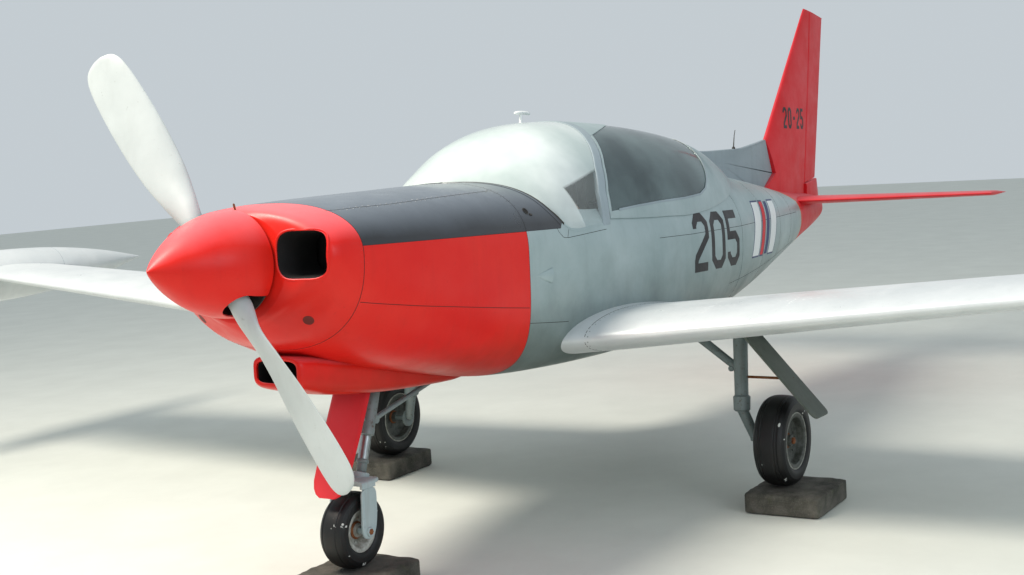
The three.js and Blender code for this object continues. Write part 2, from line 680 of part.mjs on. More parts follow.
// Fin and rudder: the leading edge, hinge and trailing edge by height.
const FIN = [
  { h: 40, front: 5600, hinge: 6412, rear: 6664, thick: 0.075 },
  { h: 246, front: 5620, hinge: 6449, rear: 6709, thick: 0.075 },
  { h: 517, front: 5710, hinge: 6498, rear: 6768, thick: 0.075 },
  { h: 1000, front: 6137, hinge: 6585, rear: 6873, thick: 0.078 },
  { h: 1490, front: 6570, hinge: 6673, rear: 6979, thick: 0.08 },
];
const finTop = sidePrism([[6520, 1490], [7100, 1438], [7100, 1600], [6400, 1600], [6400, 1490]], -200, 200);
const finShare = (row) => (row.hinge - row.front) / (row.rear - row.front);
const finFixedRing = (row) => {
  const chord = row.rear - row.front;
  const stop = finShare(row) - halfThickness(finShare(row), row.thick) - MOVING_GAP / chord;
  return finRing(row.h, row.front, row.rear, row.thick, stop);
};
const rudderRing = (row) => {
  const chord = row.rear - row.front;
  return flapOutline(row.thick, 0, finShare(row), 0).map(([x, z]) => [
    -(row.front + x * chord),
    z * chord,
    row.h,
  ]);
};
const finFront = (shift) =>
  sidePrism(
    [
      [5580 + shift, 140],
      [5820 + shift, 285],
      [5709 + shift, 518],
      [5660 + shift, 545],
      [5200, 545],
      [5200, 140],
    ],
    -200,
    200,
  );
const finSolid = loft(FIN.map(finFixedRing)).subtract(fuselageSeat).subtract(finFront(SEAT)).subtract(finTop);
add(airframe, "fin", finSolid, "red");
// Everything below the slanted foot of the rudder
const belowRudder = (drop) =>
  sidePrism([[6300, 188 - drop], [6800, 258 - drop], [6800, -100], [6300, -100]], -200, 200);
const hingeTop = [6673, 0, 1490];
const hingeLow = [6449, 0, 246];
const hingeSlope = (hingeTop[0] - hingeLow[0]) / (hingeTop[2] - hingeLow[2]);
const onHinge = (h) => [hingeLow[0] + hingeSlope * (h - hingeLow[2]), 0, h];
const rudder = loft(FIN.map(rudderRing))
  .subtract(finTop)
  .subtract(belowRudder(0))
  .add(bar(onHinge(110), onHinge(300), RUDDER_PIN, 14));
add(airframe, "rudder", rudder, "red");
joints.rudder = { at: [[-onHinge(800)[0], 0, 800]], along: [onHinge(300), onHinge(1400)] };

const pinBore = bar(onHinge(106), onHinge(330), RUDDER_PIN + 0.6, 14);
const tailBores = tubeHalf(ELEVATOR_TUBE + 0.6, 220).add(pinBore);
const rudderFairing = planPrism(
  [
    [6400, -36],
    [6520, -34],
    [6680, -20],
    [6762, -8],
    [6762, 8],
    [6680, 20],
    [6520, 34],
    [6400, 36],
  ],
  40,
  300,
)
  .intersect(belowRudder(MOVING_GAP))
  .intersect(sidePrism([[6380, 0], [6380, 300], [6700, 300], [6762, 60], [6740, 0]], -60, 60))
  .subtract(finSolid.translate([-SEAT, 0, 0]))
  .subtract(finSolid);
const tailCone = rearShell.intersect(behindLine(SEAT)).add(rudderFairing).subtract(tailBores);
add(airframe, "tail_cone", tailCone, "red");

// Dorsal fin, its nose filling the slot at the back of the canopy
const DORSAL_HALF = 12;
const dorsalOutline = [
  [4160, 150],
  [4160, 452],
  [4310, 428],
  [4420, 436],
  [4720, 436],
  [5270, 456],
  [5708.5, 517.5],
  [5819.5, 285],
  [5580, 140],
];
const fuselageTopSeat = fuselage(CABIN_REAR, TAIL_END, SEAT);
const dorsal = sidePrism(dorsalOutline, -DORSAL_HALF, DORSAL_HALF).subtract(fuselageTopSeat);
add(airframe, "dorsal_fin", dorsal, "grey");

// Windscreen, bow and sliding canopy
const glazing = canopy(1780, 4740).subtract(canopy(1740, 4790, -GLASS));
const framing = canopy(1780, 4740, 4).subtract(canopy(1740, 4790, -18));
const bowSlab = (from, to) => {
  const front = BOW.map(([s, h]) => [s + from, h]);
  const rear = BOW.map(([s, h]) => [s + to, h]).reverse();
  return sidePrism([...front, ...rear], -800, 800);
};
const bodySeat = fuselage(1400, 5300, SEAT);
const bodyClear = fuselage(1400, 5300, MOVING_GAP);
const foot = box(1500, 5200, -800, 800, -100, 60);
const aheadOfBow = bowSlab(-1200, -BOW_HALF_WIDTH - SEAT);
const windscreen = glazing.intersect(aheadOfBow).subtract(bodySeat).subtract(foot);
add(airframe, "windscreen", windscreen, "glass");
const bow = framing.intersect(bowSlab(-BOW_HALF_WIDTH, BOW_HALF_WIDTH)).subtract(bodySeat);
add(airframe, "windscreen_bow", bow, "silver");

const canopyStart = BOW_HALF_WIDTH + MOVING_GAP;
const slot = box(SLOT_FRONT, 5200, -SLOT_HALF, SLOT_HALF, 0, 800);
const skirtLine = [
  [2380, 112],
  [2760, 136],
  [3040, 150],
  [3350, 160],
  [3571, 174],
  [3680, 206],
  [3746, 250],
  [3800, 300],
  [3848, 365],
  [3885, 440],
  [3915, 540],
  [3935, 640],
  [4900, 640],
];
const skirtBelow = (shift) =>
  sidePrism([...skirtLine.map(([s, h]) => [s, h + shift]), [4900, -100], [2380, -100]], -800, 800);
const HOOP = 20;
const roofPlan = (grow) => {
  const half = [
    [2500 - grow, 315 + grow],
    [2680, 290 + grow],
    [3000, 190 + grow],
    [3180 + grow, 90 + grow],
  ];
  const other = half.map(([s, y]) => [s, -y]).reverse();
  return planPrism([...half, ...other], 380, 700);
};
const frameZone = (grow) =>
  skirtBelow(grow).add(bowSlab(canopyStart, canopyStart + HOOP + grow)).add(roofPlan(grow));
const canopyZone = bowSlab(canopyStart, 2600);
const frameRaw = framing.intersect(canopyZone).intersect(frameZone(0)).subtract(slot);
// Shoes that ride on the sill, front and rear on both sides
const shoeZone = box(2960, 3060, -700, 700, 0, 300).add(box(3440, 3540, -700, 700, 0, 300));
const shoes = frameRaw.intersect(shoeZone).subtract(bodySeat);
const canopyFrame = frameRaw.subtract(bodyClear).add(shoes);
add(airframe, "canopy_frame", canopyFrame, "silver");
const canopyGlass = glazing
  .intersect(canopyZone)
  .subtract(frameZone(SEAT))
  .subtract(bodyClear)
  .subtract(slot);
add(airframe, "canopy_glass", largest(canopyGlass), "glass");
joints.canopy = { travel: CANOPY_TRAVEL };

// Roof aerial on the bow
const AERIAL = { s: 2706, side: -128, foot: 550, top: 632, ahead: 55, behind: 90 };
const aerialPoint = (along, h) => [AERIAL.s + along, AERIAL.side, h];
const aerial = bar(aerialPoint(0, AERIAL.foot), aerialPoint(4, AERIAL.top), 7, 12)
  .add(bar(aerialPoint(-AERIAL.ahead, AERIAL.top), aerialPoint(AERIAL.behind, AERIAL.top + 4), 9, 12))
  .subtract(canopy(1780, 4740, 4 + SEAT));
add(airframe, "roof_aerial", aerial, "grey");

// Wing, its hinged surfaces and the tip tanks
const FLAP = { inner: 744, outer: 2030, share: 0.72 };
const AILERON = { inner: 2110, outer: 3740, share: 0.74 };
const flapLeft = wingSurface("flap", FLAP.inner, FLAP.outer, FLAP.share, FLAP_END_GAP);
const aileronLeft = wingSurface("aileron", AILERON.inner, AILERON.outer, AILERON.share, MOVING_GAP);
const bodyWide = fuselage(1400, 4900, SEAT);
const wing = wingLeftFull.subtract(bodyWide).subtract(flapLeft.hole).subtract(aileronLeft.hole);
const tankAt = wingAt(WING.outer);
const tankHeight = tankAt.height - TANK.drop;
const tankLength = TANK.tail - TANK.nose;
const tankMiddle = (TANK.tail + TANK.nose) / 2;
const tankRows = [
  [0, 0],
  [0.015, 0.2],
  [0.05, 0.42],
  [0.11, 0.65],
  [0.2, 0.86],
  [0.31, 0.98],
  [0.42, 1],
  [0.56, 0.93],
  [0.7, 0.76],
  [0.84, 0.48],
  [0.94, 0.2],
  [1, 0],
];
const tankHolder = new THREE.Object3D();
tankHolder.rotation.set(0, -THREE.MathUtils.degToRad(TANK.tilt), Math.PI / 2);
tankHolder.position.set(-tankMiddle, TANK.side, tankHeight);
const tank = place(
  lathe(
    tankRows.map(([along, size]) => [TANK.radius * size, (along - 0.5) * tankLength]),
    20,
  ),
  tankHolder,
);
const wingTrimmed = wing.subtract(tank);
add(airframe, "wing_left", wingTrimmed, "silver");
add(airframe, "wing_right", mirrored(wingTrimmed), "silver");
add(airframe, "flap_left", flapLeft.moving, "silver");
add(airframe, "flap_right", mirrored(flapLeft.moving), "silver");
add(airframe, "aileron_left", aileronLeft.moving, "silver");
add(airframe, "aileron_right", mirrored(aileronLeft.moving), "silver");
const tankSkin = tank.intersect(box(1500, 3900, WING.outer + SEAT, 4400, -600, 500));
add(airframe, "tip_tank_left", tankSkin, "silver");
add(airframe, "tip_tank_right", mirrored(tankSkin), "silver");

// Wheel heights that bring the tyres onto the blocks
const tilt = THREE.MathUtils.degToRad(NOSE_UP_DEG);
const axleHeight = (wheel) =>
  (wheel.radius + SEAT - THRUST_LINE_ABOVE_BLOCKS + wheel.s * Math.sin(tilt)) / Math.cos(tilt);
const noseAxle = axleHeight(NOSE_WHEEL);
const mainAxle = axleHeight(MAIN_WHEEL);

// A tyre and its rim about the Y axis through a body point.
function wheelSolids(wheel, s, y, h, dish) {
  const half = wheel.width / 2;
  const tyreProfile = [
    [wheel.rim + SEAT, -half * 0.7],
    [wheel.rim + (wheel.radius - wheel.rim) * 0.45, -half],
    [wheel.radius - 20, -half * 0.8],
    [wheel.radius, -half * 0.25],
    [wheel.radius, half * 0.25],
    [wheel.radius - 20, half * 0.8],
    [wheel.rim + (wheel.radius - wheel.rim) * 0.45, half],
    [wheel.rim + SEAT, half * 0.7],
  ];
  tyreProfile.push(tyreProfile[0]);
  const bore = AXLE_RADIUS + 0.6;
  const rimProfile = [
    [bore, -half * 0.5],
    [34, -half * 0.5],
    [36, -dish / 2],
    [wheel.rim - 12, -dish / 2],
    [wheel.rim, -half * 0.66],
    [wheel.rim, half * 0.66],
    [wheel.rim - 12, dish / 2],
    [36, dish / 2],
    [34, half * 0.5],
    [bore, half * 0.5],
  ];
  rimProfile.push(rimProfile[0]);
  const holder = new THREE.Object3D();
  holder.position.set(-s, y, h);
  return {
    tyre: place(lathe(tyreProfile, 24), holder),
    rim: place(lathe(rimProfile, 24), holder),
  };
}

// Nose leg on its raked steering axis
const STEER_TOP = { s: 1318, h: -250 };
const rakeSlope = (STEER_TOP.s - NOSE_WHEEL.s) / (STEER_TOP.h - noseAxle);
const onSteer = (h) => [NOSE_WHEEL.s + rakeSlope * (h - noseAxle), 0, h];
const LEG_RADIUS = 30;
const PISTON_RADIUS = 21;
const FORK_TOP = -896;
let noseLeg = bar(onSteer(-200), onSteer(-735), LEG_RADIUS, 20)
  .add(bar(onSteer(-725), onSteer(FORK_TOP + SEAT), PISTON_RADIUS, 20))
  .subtract(box(ENGINE_FRONT - 10, FIREWALL, -ENGINE.half, ENGINE.half, ENGINE.low - SEAT, 0));
const DOOR_LINK = { height: -690, doorEnd: [990, 0, -660], radius: 7 };
noseLeg = noseLeg.add(bar(onSteer(DOOR_LINK.height), DOOR_LINK.doorEnd, DOOR_LINK.radius, 10));
const DOOR_TOP = [1096, -505];
const DOOR_LOW = [886, -945];
const noseDoorOutline = [DOOR_TOP, DOOR_LOW, [878.7, -941.7], [1088.7, -501.7]];
const doorPlan = [
  [-96, -480],
  [-96, -700],
  [-88, -900],
  [-70, -948],
  [-50, -960],
  [60, -960],
  [84, -930],
  [92, -880],
  [97, -700],
  [97, -480],
];
const noseDoor = sidePrism(noseDoorOutline, -120, 120).intersect(frontPrism(doorPlan, 780, 1300));
const behindDoor = ([s, h]) => [s + 0.5, h];
const doorZone = [behindDoor(DOOR_TOP), behindDoor(DOOR_LOW), [800, DOOR_LOW[1]], [800, DOOR_TOP[1]]];
const aheadOfDoor = sidePrism(doorZone, -120, 120);
add(airframe, "nose_leg", noseLeg.subtract(noseDoor.add(aheadOfDoor)), "steel");
add(airframe, "nose_door", noseDoor, "red");
const STRUT = {
  low: -700,
  top: [1640, 0, -585],
  endFrom: [1600, 0, -594],
  endTo: [1690, 0, -574],
  radius: 13,
};
const strut = bar(onSteer(STRUT.low), STRUT.top, STRUT.radius, 12)
  .add(bar(STRUT.endFrom, STRUT.endTo, STRUT.radius, 12))
  .subtract(bar(onSteer(-400), onSteer(-800), LEG_RADIUS + SEAT, 20))
  .subtract(fuselage(FIREWALL - 60, 1800, SEAT))
  .intersect(box(1000, FIREWALL - SEAT, -50, 50, -900, -500))
  .subtract(lowerCowl.add(box(1640, FIREWALL, -60, 60, -584, -400)));
add(airframe, "nose_drag_strut", strut, "steel");

const FORK_HALF = NOSE_WHEEL.width / 2 + 15;
const FORK_PLATE = 12;
const forkTop = onSteer(FORK_TOP);
let fork = bar(onSteer(FORK_TOP), onSteer(FORK_TOP - 34), 34, 20);
const forkOuter = FORK_HALF + FORK_PLATE;
const crown = box(
  NOSE_WHEEL.s - 28,
  forkTop[0] + 32,
  -forkOuter,
  forkOuter,
  FORK_TOP - 38,
  FORK_TOP - 20,
);
fork = fork.add(crown);
const armOutline = [
  [NOSE_WHEEL.s + 62, FORK_TOP - 20],
  [NOSE_WHEEL.s - 28, FORK_TOP - 20],
  [NOSE_WHEEL.s - 36, noseAxle + 90],
  [NOSE_WHEEL.s - 40, noseAxle + 6],
  [NOSE_WHEEL.s - 22, noseAxle - 26],
  [NOSE_WHEEL.s + 22, noseAxle - 30],
  [NOSE_WHEEL.s + 50, noseAxle],
  [NOSE_WHEEL.s + 62, noseAxle + 70],
];
for (const side of [1, -1]) {
  const inner = side > 0 ? FORK_HALF : -forkOuter;
  fork = fork.add(sidePrism(armOutline, inner, inner + FORK_PLATE));
}
const axleReach = forkOuter + 8;
fork = fork.add(
  bar([NOSE_WHEEL.s, -axleReach, noseAxle], [NOSE_WHEEL.s, axleReach, noseAxle], AXLE_RADIUS, 20),
);
const noseWheel = wheelSolids(NOSE_WHEEL, NOSE_WHEEL.s, 0, noseAxle, 40);
add(airframe, "nose_fork", fork, "steel");
add(airframe, "nose_rim", noseWheel.rim, "steel");
add(airframe, "nose_tyre", noseWheel.tyre, "rubber");
joints.nose_steer = { along: [onSteer(-905), onSteer(-250)], at: [[-forkTop[0], 0, FORK_TOP]] };
joints.nose_wheel = { at: [[-NOSE_WHEEL.s, 0, noseAxle]], axis: [0, 1, 0] };

// Main legs, doors and wheels
const LEG_SIDE = 976;
const wingSeat = wingLeftFull.translate([0, 0, -SEAT]).add(wingLeftFull);
const mainWheel = wheelSolids(MAIN_WHEEL, MAIN_WHEEL.s, MAIN_WHEEL.side, mainAxle, 56);
const kneeHeight = mainAxle + 150;
const mainDoorOutline = [
  [999, -425],
  [1008, -417],
  [1406, -863],
  [1397, -871],
];
const outsideDoor = [
  [998.4, -425],
  [1500, -425],
  [1500, -871],
  [1396.4, -871],
];
const knee = (along, side, rise) => [along, LEG_SIDE + side, kneeHeight + rise];
const onAxle = (y) => [MAIN_WHEEL.s, y, mainAxle];
// The leg's bars, each from one end to the other: tube, knee, lower arm, axle, side brace, lug and door rod.
const legBars = [
  { from: [2862, LEG_SIDE - 10, -420], to: knee(2815, 6, 0), radius: 35, sides: 20 },
  { from: knee(2818, 6, 30), to: knee(2812, 6, -10), radius: 41, sides: 20 },
  { from: knee(2812, 10, 0), to: onAxle(LEG_SIDE + 56), radius: 25, sides: 16 },
  { from: onAxle(LEG_SIDE + 36), to: onAxle(MAIN_WHEEL.side + 52), radius: AXLE_RADIUS, sides: 20 },
  { from: [2850, LEG_SIDE - 34, -664], to: [2850, 730, -505], radius: 20, sides: 12 },
  { from: [2850, LEG_SIDE, -652], to: [2850, LEG_SIDE - 50, -658], radius: 16, sides: 12 },
  { from: [2840, LEG_SIDE, -706], to: [2790, 1262, -700], radius: 7, sides: 10 },
];
const DOOR_FRONT = 2660;
const DOOR_REAR = 2850;
const mainDoor = frontPrism(mainDoorOutline, DOOR_FRONT, DOOR_REAR).subtract(wingSeat);
const besideDoor = frontPrism(outsideDoor, 2600, 2900).intersect(box(2600, 2900, 1040, 1500, -871, -400));
let mainLeg = bar(legBars[0].from, legBars[0].to, legBars[0].radius, legBars[0].sides);
for (const row of legBars.slice(1)) {
  mainLeg = mainLeg.add(bar(row.from, row.to, row.radius, row.sides));
}
mainLeg = mainLeg.subtract(wingSeat).subtract(besideDoor);
add(airframe, "main_leg_left", mainLeg, "steel");
add(airframe, "main_leg_right", mirrored(mainLeg), "steel");
add(airframe, "main_door_left", mainDoor, "silver");
add(airframe, "main_door_right", mirrored(mainDoor), "silver");
add(airframe, "main_rim_left", mainWheel.rim, "steel");
add(airframe, "main_rim_right", mirrored(mainWheel.rim), "steel");
add(airframe, "main_tyre_left", mainWheel.tyre, "rubber");
add(airframe, "main_tyre_right", mirrored(mainWheel.tyre), "rubber");
joints.main_wheel = { at: [[-MAIN_WHEEL.s, MAIN_WHEEL.side, mainAxle]], axis: [0, 1, 0] };

// Cabin furniture on the floor
const SEAT_SIDE = 222;
const SEAT_WIDTH = 350;
const seatOutline = [
  [2640, FLOOR_HEIGHT + SEAT],
  [2630, -250],
  [2660, -225],
  [3010, -262],
  [3060, -240],
  [3170, 190],
  [3190, 330],
  [3250, 330],
  [3245, 180],
  [3180, FLOOR_HEIGHT + SEAT],
];
for (const [name, side] of [["seat_left", 1], ["seat_right", -1]]) {
  const seat = sidePrism(seatOutline, side * SEAT_SIDE - SEAT_WIDTH / 2, side * SEAT_SIDE + SEAT_WIDTH / 2);
  add(airframe, name, seat, "cloth");
}
const benchOutline = [
  [3500, FLOOR_HEIGHT + SEAT],
  [3490, -240],
  [3520, -215],
  [3860, -245],
  [3900, -225],
  [4000, 170],
  [4060, 175],
  [4040, FLOOR_HEIGHT + SEAT],
];
const BENCH_HALF = 300;
add(airframe, "rear_seat", sidePrism(benchOutline, -BENCH_HALF, BENCH_HALF), "cloth");
const panelOutline = [
  [2020, -140],
  [2000, 150],
  [1930, 262],
  [2130, 246],
  [2165, 226],
  [2100, 205],
  [2085, -150],
];
const PANEL_HALF = 520;
const panel = sidePrism(panelOutline, -PANEL_HALF, PANEL_HALF).intersect(
  fuselage(FIREWALL + 25, CABIN_REAR - 20, -SKIN - SEAT).add(canopy(1810, 2300, -SKIN - 6 - SEAT)),
);
add(airframe, "instrument_panel", panel, "plastic");
const STICK = { side: 235, foot: 2580, top: 2560, gripFoot: 2564, gripTop: 2552, radius: 10, grip: 17 };
let sticks = box(2560, 2600, -250, 250, FLOOR_HEIGHT + SEAT, FLOOR_HEIGHT + 30);
for (const y of [-STICK.side, STICK.side]) {
  sticks = sticks
    .add(bar([STICK.foot, y, FLOOR_HEIGHT + 10], [STICK.top, y, -150], STICK.radius, 10))
    .add(bar([STICK.gripFoot, y, -190], [STICK.gripTop, y, -90], STICK.grip, 12));
}
add(airframe, "control_sticks", sticks, "plastic");

// The airframe in its stance, and the blocks under its tyres
const root = new THREE.Group();
root.name = "aerobatic_trainer";
airframe.rotation.y = -tilt;
airframe.position.z = BLOCK_HEIGHT + THRUST_LINE_ABOVE_BLOCKS;
root.add(airframe);
const contact = (wheel, side) => {
  const h = axleHeight(wheel);
  return [-wheel.s * Math.cos(tilt) - h * Math.sin(tilt), side];
};
const blockRows = [
  ["wheel_block_nose", NOSE_WHEEL, 0],
  ["wheel_block_left", MAIN_WHEEL, MAIN_WHEEL.side + BLOCK_OUTWARD],
  ["wheel_block_right", MAIN_WHEEL, -MAIN_WHEEL.side - BLOCK_OUTWARD],
];
for (const [name, wheel, side] of blockRows) {
  const [x, y] = contact(wheel, side);
  const tall = side === 0 ? BLOCK_HEIGHT - STEER_ROOM : BLOCK_HEIGHT;
  const geometry = new THREE.BoxGeometry(BLOCK_LENGTH, BLOCK_WIDTH, tall);
  geometry.translate(x, y, tall / 2);
  add(root, name, solidOf(geometry), "stone");
}
root.updateMatrixWorld(true);
const extent = new THREE.Box3().setFromObject(root, true);
const middle = (extent.min.x + extent.max.x) / 2;
for (const child of root.children) {
  child.position.x -= middle;
}
root.updateMatrixWorld(true);
root.userData.joints = joints;

export default root;
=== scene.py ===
import bmesh
import bpy
import numpy as np
from mathutils import Matrix, Vector
from numpy import array, column_stack, concatenate, cos, interp, linspace, pi, radians, sin


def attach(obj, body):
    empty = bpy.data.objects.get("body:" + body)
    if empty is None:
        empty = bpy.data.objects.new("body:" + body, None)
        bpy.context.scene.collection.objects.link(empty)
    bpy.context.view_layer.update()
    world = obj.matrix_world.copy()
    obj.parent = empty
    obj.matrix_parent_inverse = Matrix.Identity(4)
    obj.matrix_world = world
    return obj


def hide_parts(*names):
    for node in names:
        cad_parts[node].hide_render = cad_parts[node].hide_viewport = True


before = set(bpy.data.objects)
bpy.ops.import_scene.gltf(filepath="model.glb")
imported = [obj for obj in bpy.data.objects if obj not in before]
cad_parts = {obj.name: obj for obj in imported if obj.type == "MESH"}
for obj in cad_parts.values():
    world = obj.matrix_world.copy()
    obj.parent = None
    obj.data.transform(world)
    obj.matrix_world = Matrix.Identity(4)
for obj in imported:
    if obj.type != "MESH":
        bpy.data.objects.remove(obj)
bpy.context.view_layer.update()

print("frame loaded")

# The airframe is drawn by station (mm aft of the spinner tip), side (mm to port)
# and height (mm above the thrust line).
stance = {"noseUpDegrees": 1.83, "thrustLine": 1413.0, "middle": 3506.694}
tilt = radians(stance["noseUpDegrees"])
sides = {"left": 1, "right": -1}


def toFrame(points):  # body points in mm turned nose up about Y and moved to the frame, in metres
    s, y, h = np.moveaxis(np.asarray(points, float), -1, 0)
    x = stance["middle"] - s * cos(tilt) - h * sin(tilt)
    z = stance["thrustLine"] - s * sin(tilt) + h * cos(tilt)
    return np.stack([x, y, z], -1) / 1000


def stack(s, y, h):
    return np.stack(np.broadcast_arrays(*(np.asarray(v, float) for v in (s, y, h))), -1)


def fullTurn(count):
    return linspace(0, 2 * pi, count, endpoint=False)


def unit(vectors, least=0.0):
    return vectors / np.maximum(np.linalg.norm(vectors, axis=-1, keepdims=True), least)


def ramp(value, low, high):  # 0 below low, 1 above high, and a smooth S between
    t = np.clip((value - low) / (high - low), 0, 1)
    return t * t * (3 - 2 * t)


def tableCurve(rows, at):  # cubic Hermite curve through the rows, its slopes taken across both neighbours
    rows = np.asarray(rows, float)
    knots, values = rows[:, 0], rows[:, 1:]
    slopes = np.empty_like(values)
    slopes[1:-1] = (values[2:] - values[:-2]) / (knots[2:] - knots[:-2])[:, None]
    slopes[0] = (values[1] - values[0]) / (knots[1] - knots[0])
    slopes[-1] = (values[-1] - values[-2]) / (knots[-1] - knots[-2])
    at = np.asarray(at, float)
    i = np.clip(np.searchsorted(knots, at, side="right") - 1, 0, len(knots) - 2)
    span = (knots[i + 1] - knots[i])[..., None]
    t = np.clip((at[..., None] - knots[i][..., None]) / span, 0, 1)
    made = values[i] * (2 * t**3 - 3 * t**2 + 1) + values[i + 1] * (3 * t**2 - 2 * t**3)
    made = made + span * (slopes[i] * (t**3 - 2 * t**2 + t) + slopes[i + 1] * (t**3 - t**2))
    return np.moveaxis(made, -1, 0)


# station, half width, height of the widest line, top, bottom, squareness of the upper and of the lower half
fuselageRows = [
    (430, 250, 20, 198, -210, 2.1, 2.0), (448, 368, 24, 208, -238, 2.1, 1.5), (470, 416, 26, 213, -260, 2.15, 1.45),
    (500, 436, 28, 217, -284, 2.2, 1.55), (550, 447, 28, 222, -308, 2.3, 1.95), (620, 455, 25, 228, -330, 2.35, 2.35),
    (800, 470, 10, 240, -395, 2.45, 2.6), (1000, 480, -5, 250, -450, 2.55, 3.0), (1400, 492, -30, 268, -530, 2.7, 3.6),
    (1700, 500, -50, 282, -575, 2.7, 4.0), (2100, 512, -70, 295, -600, 2.55, 3.8), (2600, 520, -90, 306, -612, 2.4, 3.6),
    (3200, 516, -95, 316, -610, 2.35, 3.3), (3800, 492, -90, 322, -588, 2.3, 2.9), (4150, 464, -84, 320, -560, 2.2, 2.6),
    (4400, 434, -76, 308, -530, 2.2, 2.5), (4900, 360, -52, 262, -448, 2.2, 2.4), (5300, 295, -38, 218, -366, 2.2, 2.3),
    (5700, 225, -20, 172, -280, 2.1, 2.3), (6100, 158, -2, 142, -196, 2.1, 2.2), (6450, 104, 8, 130, -122, 2.1, 2.1),
    (6700, 58, 18, 104, -58, 2.0, 2.0), (6770, 32, 20, 68, -28, 2.0, 2.0),
]
# station, half width at the foot, crown height, roundness
canopyRows = [
    (1780, 200, 278, 1.85), (1815, 325, 303, 1.85), (1850, 415, 332, 1.85), (1920, 480, 388, 1.85),
    (2000, 496, 444, 1.88), (2100, 502, 494, 2.0), (2250, 501, 538, 2.1), (2450, 497, 566, 2.2), (2700, 498, 577, 2.2),
    (3000, 498, 576, 2.2), (3400, 490, 562, 2.2), (3800, 462, 530, 2.2), (4100, 418, 482, 2.2), (4350, 358, 420, 2.1),
    (4550, 292, 362, 2.1), (4740, 205, 302, 2.0),
]
# station and height along the bow, along the upper edge of the canopy's skirt, and along the edge of the red tail
bowRows = array([(2412, -200), (2418, 60), (2432, 215), (2500, 340), (2612, 468), (2680, 540), (2760, 610), (2960, 780)])
skirtRows = array([
    (2380, 112), (2760, 136), (3040, 150), (3350, 160), (3571, 174), (3680, 206), (3746, 250), (3800, 300), (3848, 365),
    (3885, 440), (3915, 540), (3935, 640), (4900, 640),
])
tailLineRows = array([(5850, -500), (5872, -90), (5820, 85), (5620, 165), (5600, 400)])
deckEdge = 60.0


def rayOf(c, w, power):  # how far a superellipse of half size one reaches in the direction (c, w)
    return (np.abs(c) ** power + np.abs(w) ** power) ** (-1 / power)


def bodyHalf(s, upper):  # the body's half width, widest line, reach and squareness over or under that line
    half, mid, top, bottom, upperPower, lowerPower = tableCurve(fuselageRows, s)
    return half, mid, np.where(upper, top - mid, mid - bottom), np.where(upper, upperPower, lowerPower)


def bodyPoint(s, turn, out=0.0):  # upper and lower superellipses in polar form about the widest line, grown by out
    c, w = cos(turn), sin(turn)
    half, mid, reach, power = bodyHalf(s, w >= 0)
    ray = rayOf(c, w, power)
    return stack(s, (half + out) * ray * c, mid + (reach + out) * ray * w)


def widestLine(s):
    return tableCurve(fuselageRows, s)[1]


def turnAtHeight(s, height):  # the polar angle at which the port side of the body has that height
    above = height >= widestLine(s)
    half, mid, reach, power = bodyHalf(s, above)
    rise = np.clip(np.abs(height - mid) / reach, 0, 1)
    turn = np.arctan2(rise, (1 - rise**power) ** (1 / power))
    return np.where(above, turn, -turn)


def glassPoint(s, turn, out=0.0):  # half a superellipse over the foot line, in polar form
    half, top, power = tableCurve(canopyRows, s)
    c, w = cos(turn), sin(turn)
    ray = rayOf(c, w, power)
    return stack(s, (half + out) * ray * c, (top + out) * ray * w)


def glassTurnAtHeight(s, height):
    half, top, power = tableCurve(canopyRows, s)
    rise = np.clip(height / top, 0, 1)
    return np.arctan2(rise, (1 - rise**power) ** (1 / power))


def sillTurn(s, out=0.0, lift=0.0):  # where the glass line crosses the body grown by lift, by halving
    s = np.asarray(s, float)
    half, mid, reach, power = bodyHalf(s, True)
    low, high = np.zeros_like(s), np.full_like(s, pi / 2)
    for step in range(32):
        turn = (low + high) / 2
        point = glassPoint(s, turn, out)
        level = np.abs(point[..., 1] / (half + lift)) ** power
        level = level + np.abs((point[..., 2] - mid) / (reach + lift)) ** power
        low, high = np.where(level < 1, turn, low), np.where(level < 1, high, turn)
    return (low + high) / 2


def sillOnBody(s, out):  # the same crossing as a polar angle of the body
    half, mid, reach, power = bodyHalf(s, True)
    point = glassPoint(s, sillTurn(s, out), out)
    return np.arctan2((point[..., 2] - mid) / reach, point[..., 1] / half)


def edgeTurn(s):  # the deck's lower edge: level, then curling up to the sill at its rear corner
    curl = ramp(np.asarray(s, float), 1985, 2050)
    return turnAtHeight(s, deckEdge) * (1 - curl) + sillOnBody(np.maximum(s, 1800), -26) * curl


# Meshes
def gridQuads(rows, cols, wrap=False):
    i, j = np.meshgrid(np.arange(rows - 1), np.arange(cols if wrap else cols - 1), indexing="ij")
    k = (j + 1) % cols
    return np.stack([i * cols + j, (i + 1) * cols + j, (i + 1) * cols + k, i * cols + k], -1).reshape(-1, 4)


def loopQuads(rows, cols):  # the same, closed both ways
    return gridQuads(rows + 1, cols, True) % (rows * cols)


def shellPart(outer, inner, wrap=False):  # an outer and an inner grid joined along their open edges
    rows, cols = outer.shape[:2]
    quads = gridQuads(rows, cols, wrap)
    index = np.arange(rows * cols).reshape(rows, cols)
    edges = [index[0], index[-1]]
    edges = [np.append(edge, edge[0]) for edge in edges] if wrap else edges + [index[:, 0], index[:, -1]]
    faces = [quads, quads[:, ::-1] + rows * cols]
    faces += [np.stack([a[:-1], a[1:], a[1:] + rows * cols, a[:-1] + rows * cols], -1) for a in edges]
    return concatenate([outer.reshape(-1, 3), inner.reshape(-1, 3)]), [concatenate(faces)]


